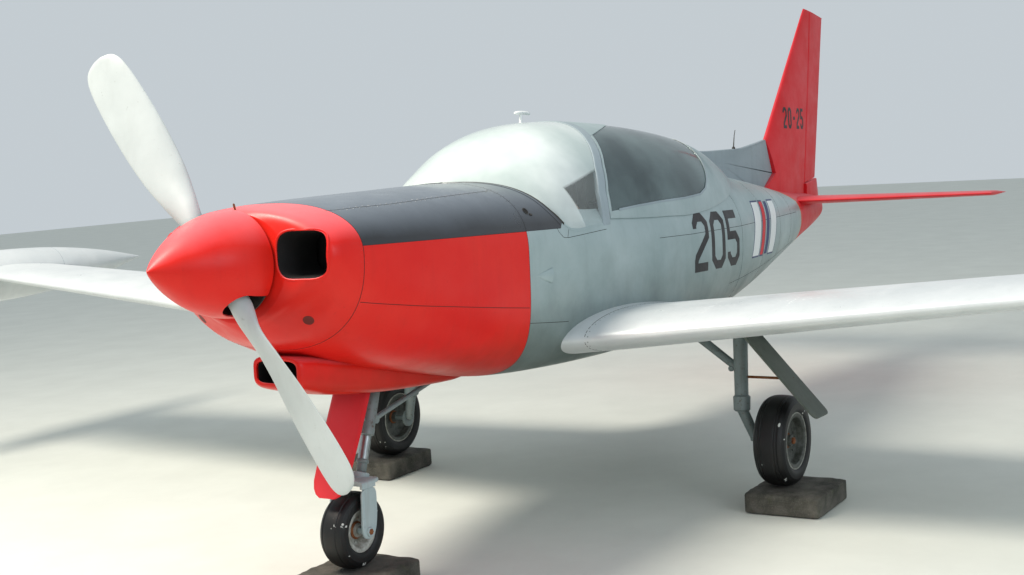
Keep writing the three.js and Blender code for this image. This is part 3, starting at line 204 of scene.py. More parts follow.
def loftPart(rings):  # closed rings skinned in turn, with a fan at both ends
    rings = np.asarray(rings, float)
    rows, cols = rings.shape[:2]
    points = concatenate([rings.reshape(-1, 3), rings[:1].mean(1), rings[-1:].mean(1)])
    j = np.arange(cols)
    k, base, ends = (j + 1) % cols, (rows - 1) * cols, np.full(cols, rows * cols)
    fans = [np.stack([k, j, ends], -1), np.stack([base + j, base + k, ends + 1], -1)]
    return points, [gridQuads(rows, cols, True), *fans]


def spunRings(profile, origin, axis, steps):  # (radius, distance along) rows turned about an axis
    axis = unit(np.asarray(axis, float))
    side = unit(np.cross([0.0, 0.0, 1.0] if abs(axis[2]) < 0.9 else [1.0, 0.0, 0.0], axis))
    turn = fullTurn(steps)[:, None]
    around = cos(turn) * side + sin(turn) * np.cross(axis, side)
    profile = np.asarray(profile, float)
    return np.asarray(origin, float) + profile[:, None, 1:] * axis + profile[:, None, :1] * around


def lathePart(profile, origin, axis, steps=48):  # a profile from axis to axis, turned
    return loftPart(spunRings(profile, origin, axis, steps))


def ringPart(profile, origin, axis, steps=48):  # a closed profile clear of the axis, turned
    return spunRings(profile, origin, axis, steps).reshape(-1, 3), [loopQuads(len(profile), steps)]


def tubePart(path, radii, steps=20, flat=1.0, guide=(0.0, 0.0, 1.0)):  # a circle or ellipse carried along a path
    path = np.asarray(path, float)
    run = unit(np.gradient(path, axis=0))
    side = unit(np.cross(np.asarray(guide, float), run), 1e-9)
    turn = fullTurn(steps)[None, :, None]
    offset = cos(turn) * side[:, None] * flat + sin(turn) * np.cross(run, side)[:, None]
    return loftPart(path[:, None] + np.broadcast_to(np.asarray(radii, float), len(path))[:, None, None] * offset)


def barPart(start, end, radius, farRadius=None, steps=20, ease=3.0):  # a round bar with eased edges
    way = np.asarray(end, float) - start
    length, far = np.linalg.norm(way), radius if farRadius is None else farRadius
    profile = [(radius - ease, 0), (radius, ease), (far, length - ease), (far - ease, length)]
    return lathePart(profile, start, way, steps)


def roundCorners(outline, radius, steps=6):  # each corner becomes a quadratic curve between points set back from it
    outline = np.asarray(outline, float)
    radius = np.broadcast_to(np.asarray(radius, float), len(outline))[:, None]
    ends = []
    for way in (np.roll(outline, 1, 0) - outline, np.roll(outline, -1, 0) - outline):
        reach = np.linalg.norm(way, axis=1, keepdims=True)
        ends.append((outline + way / reach * np.minimum(radius, reach * 0.49))[:, None])
    t = linspace(0, 1, steps)[None, :, None]
    return (ends[0] * (1 - t) ** 2 + 2 * outline[:, None] * t * (1 - t) + ends[1] * t**2).reshape(-1, 2)


def platePart(outline, thickness, ease, place):  # an outline given depth, its edges eased by insetting the end rings
    outline = np.asarray(outline, float)
    run = np.roll(outline, -1, 0) - np.roll(outline, 1, 0)
    normal = unit(column_stack([run[:, 1], -run[:, 0]]), 1e-9)
    x, y = outline.T
    inset = outline - np.sign(np.sum(x * np.roll(y, -1) - np.roll(x, -1) * y)) * normal * ease
    rings = ((inset, 0.0), (outline, ease), (outline, thickness - ease), (inset, thickness))
    return loftPart([place(line, depth) for line, depth in rings])


def ribbonPart(path, normal, width, thickness, sink=0.5):  # a flat strip lying along a line on a surface
    path, normal = np.asarray(path, float), np.asarray(normal, float)
    side = unit(np.cross(np.gradient(path, axis=0), normal)) * width / 2
    low, high = path - normal * sink, path + normal * thickness
    return loftPart(np.stack([low - side, low + side, high + side * 0.9, high - side * 0.9], 1))


def domeParts(heads, radius, height):  # rivet heads, all at once: two rings of six and a point each
    points, normals = heads[:, 0], heads[:, 1]
    side = unit(np.cross(np.where(np.abs(normals[:, :1]) < 0.8, [[1.0, 0, 0]], [[0, 1.0, 0]]), normals))
    turn = fullTurn(6)[:, None]
    ring = cos(turn) * side[:, None] + sin(turn) * np.cross(normals, side)[:, None]
    levels = [points[:, None] + ring * radius * share + normals[:, None] * height * rise
              for share, rise in ((1.0, -0.4), (0.72, 0.8), (0.0, 1.0))]
    base = (np.arange(len(points)) * 18)[:, None, None]
    walls, foot = gridQuads(3, 6, True)[None] + base, np.arange(6)[::-1][None] + base
    return np.stack(levels, 1).reshape(-1, 3), [walls.reshape(-1, 4), foot.reshape(-1, 6)]


def outward(surface, s, turn):  # the normal from two small steps along a surface, facing away from the centre line
    here = surface(s, turn)
    normal = unit(np.cross(surface(s + 1.0, turn) - here, surface(s, turn + 1e-3) - here), 1e-12)
    facing = np.sum(normal * here * [0, 1, 1], -1, keepdims=True)
    return normal * np.where(facing < 0, -1, 1)


def turnOf(line):  # the polar angle of points near the body
    s, y, h = np.moveaxis(np.asarray(line, float), -1, 0)
    half, mid, reach, power = bodyHalf(s, h >= widestLine(s))
    return np.arctan2((h - mid) / reach, y / half)


def crownHeight(s, y):  # the height of the body's upper half over a side
    half, mid, reach, power = bodyHalf(s, True)
    return mid + reach * (1 - np.minimum(np.abs(y) / half, 1) ** power) ** (1 / power)


def denseLine(line, step=25.0):  # points a step apart along a line
    line = np.asarray(line, float)
    run = concatenate([[0], np.cumsum(np.linalg.norm(np.diff(line, axis=0), axis=1))])
    at = linspace(0, run[-1], max(2, int(run[-1] / step) + 1))
    return np.stack([interp(at, run, column) for column in line.T], -1)


def laidOnBody(line, step=25.0):  # a line dropped on the body, with its normals
    line = denseLine(line, step)
    s, turn = line[:, 0], turnOf(line)
    return bodyPoint(s, turn), outward(bodyPoint, s, turn)


def sidePoint(s, h, side=1, out=0.0):
    return bodyPoint(s, turnAtHeight(s, h), out) * [1, side, 1]


def layGrid(grid, place, out, sink, wrap=False):  # a flat grid given its small thickness on a surface
    return shellPart(place(grid[..., 0], grid[..., 1], out), place(grid[..., 0], grid[..., 1], -sink), wrap)


def strokePart(line, width, place, out=0.7, sink=0.6):  # a line given width with mitred corners and laid on a surface
    line = np.asarray(line, float)
    run = np.diff(line, axis=0)
    length = np.linalg.norm(run, axis=1)
    normal = np.stack([-run[:, 1], run[:, 0]], -1) / length[:, None]
    closed = np.allclose(line[0], line[-1])
    before = concatenate([normal[-1:] if closed else normal[:1], normal])
    after = concatenate([normal, normal[:1] if closed else normal[-1:]])
    mitre = (before + after) / (1 + np.sum(before * after, 1, keepdims=True)) * width / 2
    spans = [linspace(k, k + 1, max(3, int(n / 9)), endpoint=False) for k, n in enumerate(length)]
    at = concatenate(spans + [[len(length)]])
    port, starboard = (np.stack([interp(at, np.arange(len(line)), edge[:, k]) for k in (0, 1)], -1)
                       for edge in (line + mitre, line - mitre))
    share = linspace(0, 1, 5)[:, None, None]
    grid = port * (1 - share) + starboard * share
    return layGrid(grid[:, :-1] if closed else grid, place, out, sink, closed)


def patchPart(corners, place, out=0.5, sink=0.6, count=14):  # a four cornered patch laid on a surface
    a, b, c, d = np.asarray(corners, float)
    u, v = np.meshgrid(linspace(0, 1, count), linspace(0, 1, count), indexing="ij")
    u, v = u[..., None], v[..., None]
    return layGrid((a * (1 - u) + b * u) * (1 - v) + (d * (1 - u) + c * u) * v, place, out, sink)


def boxPart(s0, s1, y0, y1, h0, h1):
    return loftPart([[(s, y0, h0), (s, y1, h0), (s, y1, h1), (s, y0, h1)] for s in (s0, s1)])


def mirrored(part):
    return part[0] * [1, -1, 1], part[1]


def makePiece(name, parts, finish, node=None, body="airframe", slot="own", sharp=32, inFrame=False, merge=2e-6):
    offset, allPoints, allFaces = 0, [], []
    for points, faces in parts if isinstance(parts, list) else [parts]:
        allPoints.append(points if inFrame else toFrame(points))
        allFaces += [face + offset for face in faces]
        offset += len(points)
    points = concatenate(allPoints)
    sizes = concatenate([np.full(len(face), face.shape[1]) for face in allFaces])
    mesh = bpy.data.meshes.new(name)
    mesh.vertices.add(len(points))
    mesh.vertices.foreach_set("co", points.astype(np.float32).ravel())
    mesh.loops.add(int(sizes.sum()))
    mesh.loops.foreach_set("vertex_index", concatenate([face.ravel() for face in allFaces]).astype(np.int32))
    mesh.polygons.add(len(sizes))
    mesh.polygons.foreach_set("loop_start", concatenate([[0], np.cumsum(sizes)[:-1]]).astype(np.int32))
    mesh.update(calc_edges=True)
    mesh.validate()
    build = bmesh.new()
    build.from_mesh(mesh)
    bmesh.ops.remove_doubles(build, verts=build.verts, dist=merge)
    bmesh.ops.dissolve_degenerate(build, edges=build.edges, dist=merge / 2)
    bmesh.ops.recalc_face_normals(build, faces=build.faces)
    build.to_mesh(mesh)
    build.free()
    return finishPiece(addObject(name, mesh), finish, node, body, slot, sharp)


def addObject(name, data):
    obj = bpy.data.objects.new(name, data)
    bpy.context.scene.collection.objects.link(obj)
    return obj


def smoothed(mesh, sharp):
    mesh.polygons.foreach_set("use_smooth", np.ones(len(mesh.polygons), bool))
    mesh.set_sharp_from_angle(angle=radians(sharp))


def finishPiece(obj, finish, node, body, slot, sharp):
    obj.data.materials.clear()
    obj.data.materials.append(finish)
    smoothed(obj.data, sharp)
    if body:
        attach(obj, body)
        slot = slotOf[finish.name] if slot == "own" else slot
        if node:
            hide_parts(node)
    return obj


def makePair(name, parts, finish, node=None, body="airframe", suffix="", **settings):  # the port piece and its mirror
    parts = parts if isinstance(parts, list) else [parts]
    for word, side in sides.items():
        shapes = parts if side > 0 else [mirrored(part) for part in parts]
        rides = body if body == "airframe" else body + word
        makePiece(name + "_" + word + suffix, shapes, finish, node and node + "_" + word, rides, **settings)


def evaluated(obj):
    return bpy.data.meshes.new_from_object(obj.evaluated_get(bpy.context.evaluated_depsgraph_get()))


def cutPiece(obj, cutter, sharp=32):  # takes a closed part away from a piece
    cutter = makePiece(obj.name + "_cutter", cutter, obj.data.materials[0], body=None)
    tool = obj.modifiers.new("cut", "BOOLEAN")
    tool.operation, tool.solver, tool.object = "DIFFERENCE", "EXACT", cutter
    bpy.context.view_layer.update()
    made = evaluated(obj)
    obj.modifiers.clear()
    obj.data = made
    bpy.data.objects.remove(cutter)
    smoothed(made, sharp)


# Materials
def linear(code):  # an sRGB hex colour as linear red, green, blue and 1
    values = array([int(code[i : i + 2], 16) / 255 for i in (1, 3, 5)])
    values = np.where(values <= 0.04045, values / 12.92, ((values + 0.055) / 1.055) ** 2.4)
    return (*values.tolist(), 1.0)


def addNode(tree, kind, inputs=None, **settings):  # with its settings, links and values; a hex code is a colour
    node = tree.nodes.new(kind)
    for key, value in settings.items():
        setattr(node, key, value)
    for key, value in (inputs or {}).items():
        if isinstance(value, bpy.types.NodeSocket):
            tree.links.new(value, node.inputs[key])
        else:
            node.inputs[key].default_value = linear(value) if isinstance(value, str) else value
    return node


def startMaterial(name, roughness, metallic=0.0, **sockets):
    material = bpy.data.materials.new(name)
    material.use_nodes = True
    tree = material.node_tree
    tree.nodes.clear()
    shader = addNode(tree, "ShaderNodeBsdfPrincipled", {"Roughness": roughness, "Metallic": metallic, **sockets})
    addNode(tree, "ShaderNodeOutputMaterial", {"Surface": shader.outputs[0]})
    return material, shader, addNode(tree, "ShaderNodeTexCoord").outputs["Object"]


def noise(where, perMetre, detail=4.0, roughness=0.55, stretch=None):
    tree = where.id_data
    if stretch:
        where = addNode(tree, "ShaderNodeMapping", {"Vector": where, "Scale": stretch}).outputs[0]
    inputs = {"Vector": where, "Scale": perMetre, "Detail": detail, "Roughness": roughness}
    return addNode(tree, "ShaderNodeTexNoise", inputs).outputs["Fac"]


def spread(value, low, high, toLow=0.0, toHigh=1.0):
    inputs = {"Value": value, "From Min": low, "From Max": high, "To Min": toLow, "To Max": toHigh}
    return addNode(value.id_data, "ShaderNodeMapRange", inputs, clamp=True).outputs["Result"]


def mix(share, a, b):
    return addNode(share.id_data, "ShaderNodeMix", {0: share, 6: a, 7: b}, data_type="RGBA").outputs[2]


def math(operation, a, b=0.0, clamp=False):
    return addNode(a.id_data, "ShaderNodeMath", {0: a, 1: b}, operation=operation, use_clamp=clamp).outputs[0]


def feed(shader, name, socket):
    shader.id_data.links.new(socket, shader.inputs[name])


def addBump(shader, height, distance, strength=1.0, before=None):
    inputs = {"Height": height, "Distance": distance, "Strength": strength}
    if before is not None:
        inputs["Normal"] = before
    out = addNode(shader.id_data, "ShaderNodeBump", inputs).outputs[0]
    feed(shader, "Normal", out)
    return out


def parts3(socket):
    return addNode(socket.id_data, "ShaderNodeSeparateXYZ", {"Vector": socket}).outputs


def bodyCoordinates(where):  # metres: minus the station, the side and the height above the thrust line
    mid, line = stance["middle"] / 1000, stance["thrustLine"] / 1000
    shift = (-(mid * cos(tilt) + line * sin(tilt)), 0, mid * sin(tilt) - line * cos(tilt))
    inputs = {"Vector": where, "Rotation": (0, tilt, 0), "Location": shift}
    return addNode(where.id_data, "ShaderNodeMapping", inputs).outputs[0]


# Sprayed paint on sheet metal left outdoors: broad faded clouds, thin rain streaks down the sides, grime specks,
# slight oil canning of the sheets and a fine orange peel
def agedPaint(name, colour, faded, grime, roughness, metallic=0.0, grimeAt=(0.6, 0.8), peel=0.00006,
              darkerLow=None, streak=0.25, specular=0.5, coat=0.0, grimeShare=0.6, skyGlare=None):
    sockets = {"Specular IOR Level": specular, "Coat Weight": coat, "Coat Roughness": 0.15}
    material, shader, where = startMaterial(name, roughness, metallic, **sockets)
    body = bodyCoordinates(where)
    tone = mix(spread(noise(where, 2.2, 5, 0.6), 0.35, 0.75), colour, faded)
    tone = mix(spread(noise(body, 1.0, 4, 0.6, stretch=(22, 22, 1.6)), 0.52, 0.75, 0.0, streak), tone, grime)
    tone = mix(spread(noise(where, 55, 6, 0.7), *grimeAt, 0.0, grimeShare), tone, grime)
    if darkerLow:  # darker towards the bottom of the skin: painted shade and grass reflection on the silver, a darker brown low under the red nose
        low, high, code, share = darkerLow
        rough = math("ADD", parts3(body)[2], spread(noise(where, 5, 4, 0.6), 0.2, 0.8, -0.09, 0.09))
        tone = mix(spread(rough, low, high, share, 0.0), tone, code)
    if skyGlare:  # painted sky glare: a pale bloom on the faces that look up
        code, share = skyGlare
        facing = parts3(addNode(where.id_data, "ShaderNodeTexCoord").outputs["Normal"])[2]
        glareMask = math("ADD", facing, spread(noise(where, 1.8, 5, 0.6), 0.25, 0.75, -0.15, 0.15))
        tone = mix(spread(glareMask, 0.35, 1.05, 0.0, share), tone, code)
    feed(shader, "Base Color", tone)
    feed(shader, "Roughness", spread(noise(where, 7, 5, 0.65), 0.3, 0.7, roughness - 0.07, roughness + 0.12))
    ripple = addBump(shader, noise(where, 1.0, 2, 0.4, stretch=(3.2, 3.2, 3.2)), 0.004, 0.5)
    addBump(shader, noise(where, 900, 2, 0.5), peel, 0.6, before=ripple)
    return material


# Red enamel sprayed on aluminium sheet: even gloss, a painted sky glare pale on the faces that look up, darker brown
# towards the bottom under the nose
redPaint = agedPaint(
    "red enamel paint on aluminium", "#d8120b", "#e0281c", "#7d1a14", 0.36, peel=0.00005, specular=0.28,
    darkerLow=(-0.62, -0.36, "#6a2a12", 0.55), streak=0.08, grimeShare=0.25, skyGlare=("#f0909a", 0.5),
)
# The same red on the tail, flatter and a little faded, with a weaker painted sky glare on the faces that look up
redTailPaint = agedPaint(
    "faded red enamel on aluminium", "#d3131c", "#dc3038", "#7a1e17", 0.42, specular=0.28, streak=0.12,
    grimeShare=0.3, skyGlare=("#e8909a", 0.3),
)
# Satin anti glare paint: near black with a soft sheen, a painted blue grey sky reflection on the faces that look up,
# and pale scuffs
blackPaint = agedPaint(
    "satin black anti glare paint", "#14161b", "#22252d", "#474a4e", 0.32, streak=0.05, grimeAt=(0.66, 0.8),
    grimeShare=0.25, coat=0.35, skyGlare=("#76828f", 0.55),
)
# Aluminium pigmented paint: a soft metallic sheen, mottled and rain streaked, darkened low on the sides by painted
# shade and a painted green reflection of the grass
silverPaint = agedPaint(
    "weathered aluminium pigment paint", "#9aacad", "#b3c2c3", "#6c7572", 0.38, metallic=0.4, streak=0.1,
    grimeAt=(0.62, 0.8), grimeShare=0.35, darkerLow=(-0.52, -0.1, "#4d584f", 0.75),
)
# Fresh looking silver dope on the wings and tanks
wingPaint = agedPaint("silver paint on wing skins", "#cbd1d3", "#e0e4e5", "#8d9492", 0.34, metallic=0.2, streak=0.06,
                      grimeShare=0.25)
# Light grey enamel of the propeller blades: matt, with stone chips
bladePaint = agedPaint("light grey enamel on forged aluminium", "#b2b9b9", "#c8cfcf", "#6d706b", 0.45, streak=0.08,
                       grimeAt=(0.64, 0.76), grimeShare=0.7)
# Flat grey enamel of the window frames and the dorsal fin
greyPaint = agedPaint("light grey enamel on aluminium", "#87959b", "#9caab0", "#5d635f", 0.45, streak=0.15)
# Dark olive grey enamel on the inner face of the gear doors
doorPaint = agedPaint("dark grey enamel on gear doors", "#4b534c", "#5f665e", "#3a2c20", 0.55)
# Grey painted steel of the legs: grimy in patches, with rust bleeding through
gearPaint = agedPaint("grey enamel on steel tube", "#6d7a7a", "#8b9797", "#4a3526", 0.45, metallic=0.1,
                      grimeAt=(0.56, 0.7), grimeShare=0.85)
# Pale grey blue enamel of the cast nose fork
forkPaint = agedPaint("pale grey blue enamel on a casting", "#9fb0b2", "#b6c4c5", "#6a4f38", 0.42,
                      grimeAt=(0.62, 0.76), grimeShare=0.7)
# Oily red brown plugs in the nose bowl
plugPaint = agedPaint("oily red enamel plugs", "#5c1713", "#74231b", "#2c1410", 0.5, specular=0.3, streak=0.1)
# Black letters, faded in patches to a warm grey
stencilPaint = agedPaint("black stencil paint", "#16171a", "#3a3436", "#6a6266", 0.5, streak=0.1, grimeAt=(0.62, 0.78))
# White, blue and primer yellow of the painted markings
whitePaint = agedPaint("white marking enamel", "#dfe3e2", "#eff1f0", "#8e928f", 0.45, streak=0.1)
bluePaint = agedPaint("blue marking enamel", "#1e2e5c", "#2c4176", "#5a606a", 0.45, streak=0.1)
yellowPaint = agedPaint("yellow primer edge", "#b59a3a", "#c9b25a", "#776530", 0.5, streak=0.1)


# One finish clouded between two tones, with a fine grain in relief
def plainMaterial(name, code, second, roughness, metallic=0.0, perMetre=30, bump=0.0003, bumpScale=400):
    material, shader, where = startMaterial(name, roughness, metallic)
    feed(shader, "Base Color", mix(spread(noise(where, perMetre, 5, 0.65), 0.35, 0.7), code, second))
    addBump(shader, noise(where, bumpScale, 3, 0.6), bump, 0.5)
    return material


rust = plainMaterial("rusted mild steel", "#6b3a20", "#94613c", 0.85, 0.1, 60, 0.0012, 300)  # flaky orange brown
chrome = plainMaterial("ground steel piston", "#a9b0b1", "#8d9596", 0.28, 0.8, 40, 0.0001, 500)  # bright and smooth
castAlloy = plainMaterial("dirty painted wheel casting", "#b4b6b0", "#6f6c61", 0.55, 0.15, 34, 0.0008, 320)
darkAlloy = plainMaterial("oily cast magnesium wheel", "#5f635f", "#33352f", 0.5, 0.3, 40, 0.0008, 320)
darkSteel = plainMaterial("oily hub steel", "#2c2b2b", "#4b4640", 0.5, 0.5, 50, 0.0006, 260)
blackAndPaintedShade = plainMaterial("matt black and painted duct shade", "#060607", "#141212", 0.9, 0.0, 20, 0.0008, 150)  # near black and matt: the dial faces' own black, and painted shade inside the inlet ducts and the scoop throat
seamShade = plainMaterial("dark sheet seams and painted shade in openings", "#131313", "#262420", 0.9, 0.0, 60, 0.0002, 300)
blackPlastic = plainMaterial("moulded black plastic", "#1c1d1f", "#292a2c", 0.55, 0.0, 20, 0.0004, 700)
cabinTrim = plainMaterial("grey green leathercloth trim", "#3a3f3c", "#4b504b", 0.75, 0.0, 6, 0.0006, 500)
seatPaint = plainMaterial("dull grey seat sheet", "#5d625f", "#727773", 0.5, 0.3, 12, 0.0003, 300)
webbing = plainMaterial("woven harness webbing", "#31404d", "#3f4f5b", 0.85, 0.0, 90, 0.0008, 900)
buckleSteel = plainMaterial("plated buckle steel", "#8d8f8e", "#a4a6a4", 0.3, 0.85, 60, 0.0002, 500)
hoseBrown = plainMaterial("perished brown rubber hose", "#6a4a36", "#8a6a4e", 0.75, 0.0, 40, 0.0006, 300)
ironCast = plainMaterial("cast iron engine block", "#2d2d2f", "#424244", 0.7, 0.4, 25, 0.0015, 180)
sealRubber = plainMaterial("weathered window seal", "#2a2927", "#4d4a42", 0.8, 0.0, 25, 0.0004, 300)


# Vulcanised tyre rubber: deep black, matt, with grey dust and flecks of spilled white paint
def makeRubber():
    material, shader, where = startMaterial("vulcanised tyre rubber", 0.5, **{"Specular IOR Level": 0.45})
    tone = mix(spread(noise(where, 14, 5, 0.65), 0.45, 0.75, 0.0, 0.3), "#060709", "#1b1c19")
    feed(shader, "Base Color", mix(spread(noise(where, 24, 2, 0.5), 0.7, 0.715), tone, "#c9ccc8"))
    addBump(shader, noise(where, 260, 4, 0.6), 0.0006, 0.5)
    return material


# Cast concrete: grey cement with sand grain, damp dark patches and chipped lighter edges
def makeConcrete():
    material, shader, where = startMaterial("worn cast concrete", 0.92)
    tone = mix(spread(noise(where, 9, 6, 0.65), 0.35, 0.68), "#35352f", "#65625a")
    tone = mix(spread(noise(where, 240, 3, 0.7), 0.55, 0.75, 0.0, 0.6), tone, "#8d897d")
    feed(shader, "Base Color", mix(spread(noise(where, 16, 4, 0.6), 0.6, 0.72, 0.0, 0.5), tone, "#3d4228"))
    coarse = addBump(shader, noise(where, 40, 6, 0.7), 0.006, 0.6)
    addBump(shader, noise(where, 320, 3, 0.7), 0.0012, 0.7, before=coarse)
    return material


# Woven seat cloth: a fine basket weave over faded brown yarn
def makeSeatCloth():
    sheen = {"Sheen Weight": 0.3, "Sheen Roughness": 0.5}
    material, shader, where = startMaterial("woven brown seat cloth", 0.9, **sheen)
    tone = mix(spread(noise(where, 7, 5, 0.6), 0.35, 0.7), "#4a4136", "#6b604f")
    weave = addNode(where.id_data, "ShaderNodeTexChecker", {"Vector": where, "Scale": 420.0}).outputs[1]
    feed(shader, "Base Color", mix(math("MULTIPLY", weave, 0.16), tone, "#2b251e"))
    addBump(shader, weave, 0.0004, 0.5)
    return material


# Blown acrylic sheet: its opacity rises with height into a veil of the given tones, a painted reflection on the glass
def makeGlazing(name, code, tint, reflectionVeil, clearCorner=None):
    material, shader, where = startMaterial(name, 0.1, **{"IOR": 1.49, "Specular IOR Level": 0.6})
    minusStation, side, height = parts3(bodyCoordinates(where))
    cloud = spread(noise(where, 3.2, 4, 0.5), 0.3, 0.7, -0.025, 0.025)
    share = math("ADD", spread(height, *reflectionVeil), cloud, True)
    if clearCorner:  # clear below one line and behind another
        levels = []
        for along, up, offset in clearCorner["lines"]:
            level = math("ADD", math("MULTIPLY", minusStation, -along), math("MULTIPLY", height, up))
            levels.append(spread(math("ADD", level, offset), -0.004, 0.01))
        share = math("MULTIPLY", share, spread(math("MINIMUM", *levels), 0.0, 1.0, 1.0, clearCorner["share"]))
    feed(shader, "Alpha", share)
    feed(shader, "Base Color", mix(spread(noise(where, 2.6, 4, 0.5), 0.35, 0.7), code, tint))
    return material


rubber, concrete, seatCloth = makeRubber(), makeConcrete(), makeSeatCloth()
# the corner at the foot of the bow that is still clear: each line's share of station, share of height and offset
clearCorner = {"share": 0.18, "lines": [(0.242, -1.0, -0.27), (1.0, 0.496, -2.237)]}
# both sheets grow more opaque with height: painted reflection, milky white on the windscreen and smoky grey-green on
# the canopy
windscreenGlass = makeGlazing("acrylic windscreen with painted sky veil", "#bccac8", "#e6eeec", (0.06, 0.36, 0.46, 0.9), clearCorner)
canopyGlass = makeGlazing("smoky acrylic canopy", "#34474a", "#6b7f80", (0.1, 0.5, 0.74, 0.82))
finishes = {  # the record's slot: the finishes that belong to it
    "aircraft_red_paint": (redPaint, redTailPaint, plugPaint),
    "anti_glare_black_paint": (blackPaint, stencilPaint, bluePaint),
    "aluminium_silver_paint": (silverPaint, wingPaint, doorPaint, whitePaint),
    "aluminium_grey_paint": (bladePaint, greyPaint, yellowPaint, seatPaint),
    "steel_gear_paint": (darkSteel, castAlloy, darkAlloy, rust, gearPaint, chrome, forkPaint, buckleSteel),
    "rubber_tyre": (rubber,),
    "acrylic_glazing": (windscreenGlass, canopyGlass),
    "cast_iron_engine": (ironCast,),
    "seat_fabric": (seatCloth, webbing),
    "matte_plastic_trim": (blackAndPaintedShade, cabinTrim, sealRubber, seamShade, blackPlastic, hoseBrown),
    "concrete": (concrete,),
}
slotOf = {finish.name: slot for slot, group in finishes.items() for finish in group}
print("materials made")

# Propeller and spinner
propeller = {"station": 342, "rise": 12, "turnDegrees": 35.2, "length": 420, "radius": 200, "wall": 5, "cutout": 66,
             "cutoutAt": 7, "cutoutRear": -140}
bladeRows = [  # radius, half chord, half thickness, pitch in degrees
    (155, 40, 40, 0), (185, 42, 40, 8), (215, 47, 36, 20), (300, 64, 24, 36), (420, 84, 16, 33), (600, 97, 12, 25),
    (780, 97, 9, 20), (890, 88, 7, 17), (935, 72, 5.5, 16), (955, 50, 4.5, 16), (965, 22, 3, 16),
]


def fromPropeller(points):  # propeller axes (forward, side, up the first blade) turned about the thrust line
    turn = radians(propeller["turnDegrees"])
    f, y, z = np.moveaxis(np.asarray(points, float), -1, 0)
    rise = propeller["rise"] + y * sin(turn) + z * cos(turn)
    return np.stack([propeller["station"] - f, y * cos(turn) - z * sin(turn), rise], -1)


def spinnerGrid(out):  # the radius is the sine of a slightly blunted share of the length
    share = linspace(0, 1, 60)[:, None] ** 1.6
    radius = np.maximum(propeller["radius"] * sin(pi / 2 * share**0.88) - out, 0.0)
    s = np.minimum(share * propeller["length"] + out * 1.6, propeller["length"])
    return stack(s, radius * cos(fullTurn(96)), propeller["rise"] + radius * sin(fullTurn(96)))


spinnerWalls = shellPart(spinnerGrid(0), spinnerGrid(propeller["wall"]), wrap=True)
spinner = makePiece("spinner_shell", spinnerWalls, redPaint, "spinner", body="propeller", merge=2e-5)
for side in (1, -1):  # a round ended cutout for each blade
    turn, wide, rear = linspace(pi / 2, 3 * pi / 2, 17), propeller["cutout"], propeller["cutoutRear"]
    mouth = column_stack([propeller["cutoutAt"] - wide * cos(turn), wide * sin(turn)])
    mouth = concatenate([mouth, [[rear, -wide], [rear, wide]]])
    cutPiece(spinner, loftPart([fromPropeller(np.insert(mouth, 2, side * z, axis=1)) for z in (60.0, 300.0)]))


def bladePart(sign):  # a cambered section turned by the pitch, from a round root to a thin tip
    span = concatenate([linspace(155, 900, 60), linspace(905, 965, 18)])[:, None]
    chord, thick, pitch = tableCurve(bladeRows, span)
    pitch, turn, blend = radians(pitch), fullTurn(40), ramp(span, 160, 330)
    across = chord * cos(turn)
    through = thick * sin(turn) * (1 - 0.35 * blend * cos(turn)) + thick * 0.35 * blend * (1 - cos(turn) ** 2)
    forward = across * sin(pitch) + through * cos(pitch)
    side = -across * cos(pitch) + through * sin(pitch)
    return loftPart(fromPropeller(stack(forward, side * sign, sign * span)))


for name, number, sign in (("blade_one", 1, 1), ("blade_two", 2, -1)):
    makePiece(name, bladePart(sign), bladePaint, f"propeller_blade_{number}", body="propeller")
hubAt = fromPropeller([0, 0, 0])
hubAhead, hubUp = fromPropeller([1, 0, 0]) - hubAt, fromPropeller([0, 0, 1]) - hubAt
hub = [(0.5, -378), (45, -378), (45, -140), (70, -138), (72, -80), (72, 110), (60, 124), (0.5, 124)]
socket = [(0.5, 0), (52, 0), (52, 96), (60, 98), (60, 120), (52, 122), (50, 150), (46, 154), (0.5, 154)]
backPlate = [(88, -68), (196, -68), (197, -70), (197, -73), (194, -76), (88, -76), (88, -68)]
hubParts = [lathePart(hub, hubAt, hubAhead, 40), lathePart(backPlate, hubAt, hubAhead, 64)]
hubParts += [lathePart(socket, hubAt, hubUp * sign, 32) for sign in (1, -1)]
makePiece("propeller_hub_assembly", hubParts, darkSteel, "propeller_hub", body="propeller")
print("propeller made")

# Nose bowl
bowl = {"front": 430.0, "rear": 620, "skin": 14, "hubHole": 88, "inletAt": (306, 40), "inletHalf": (102, 88),
        "corner": 70, "lip": 5}


def bowlGrid(out):  # a flat face round the hub hole, then the body's own skin
    turn, front = fullTurn(160), bowl["front"]
    hole = stack(front, bowl["hubHole"] * cos(turn), propeller["rise"] + bowl["hubHole"] * sin(turn))
    rim = bodyPoint(np.full(160, front), turn, out)
    face = hole + (rim - hole) * (linspace(0, 1, 14) ** 0.7)[:, None, None]
    face[..., 0] = front - out
    s = front + (bowl["rear"] - 0.6 - front) * linspace(0, 1, 42)[1:] ** 1.8
    return concatenate([face, bodyPoint(*np.meshgrid(s, turn, indexing="ij"), out)])


bowlWalls = shellPart(bowlGrid(0), bowlGrid(-bowl["skin"]), wrap=True)
noseBowl = makePiece("nose_bowl_shell", bowlWalls, redPaint, "nose_bowl", sharp=50, merge=1e-5)


def inletOutline(side, grow=0.0):
    width, tall = array(bowl["inletHalf"]) + grow
    line = roundCorners([(width, tall), (-width, tall), (-width, -tall), (width, -tall)], bowl["corner"] + grow, 9)
    return line + array(bowl["inletAt"]) * [side, 1]


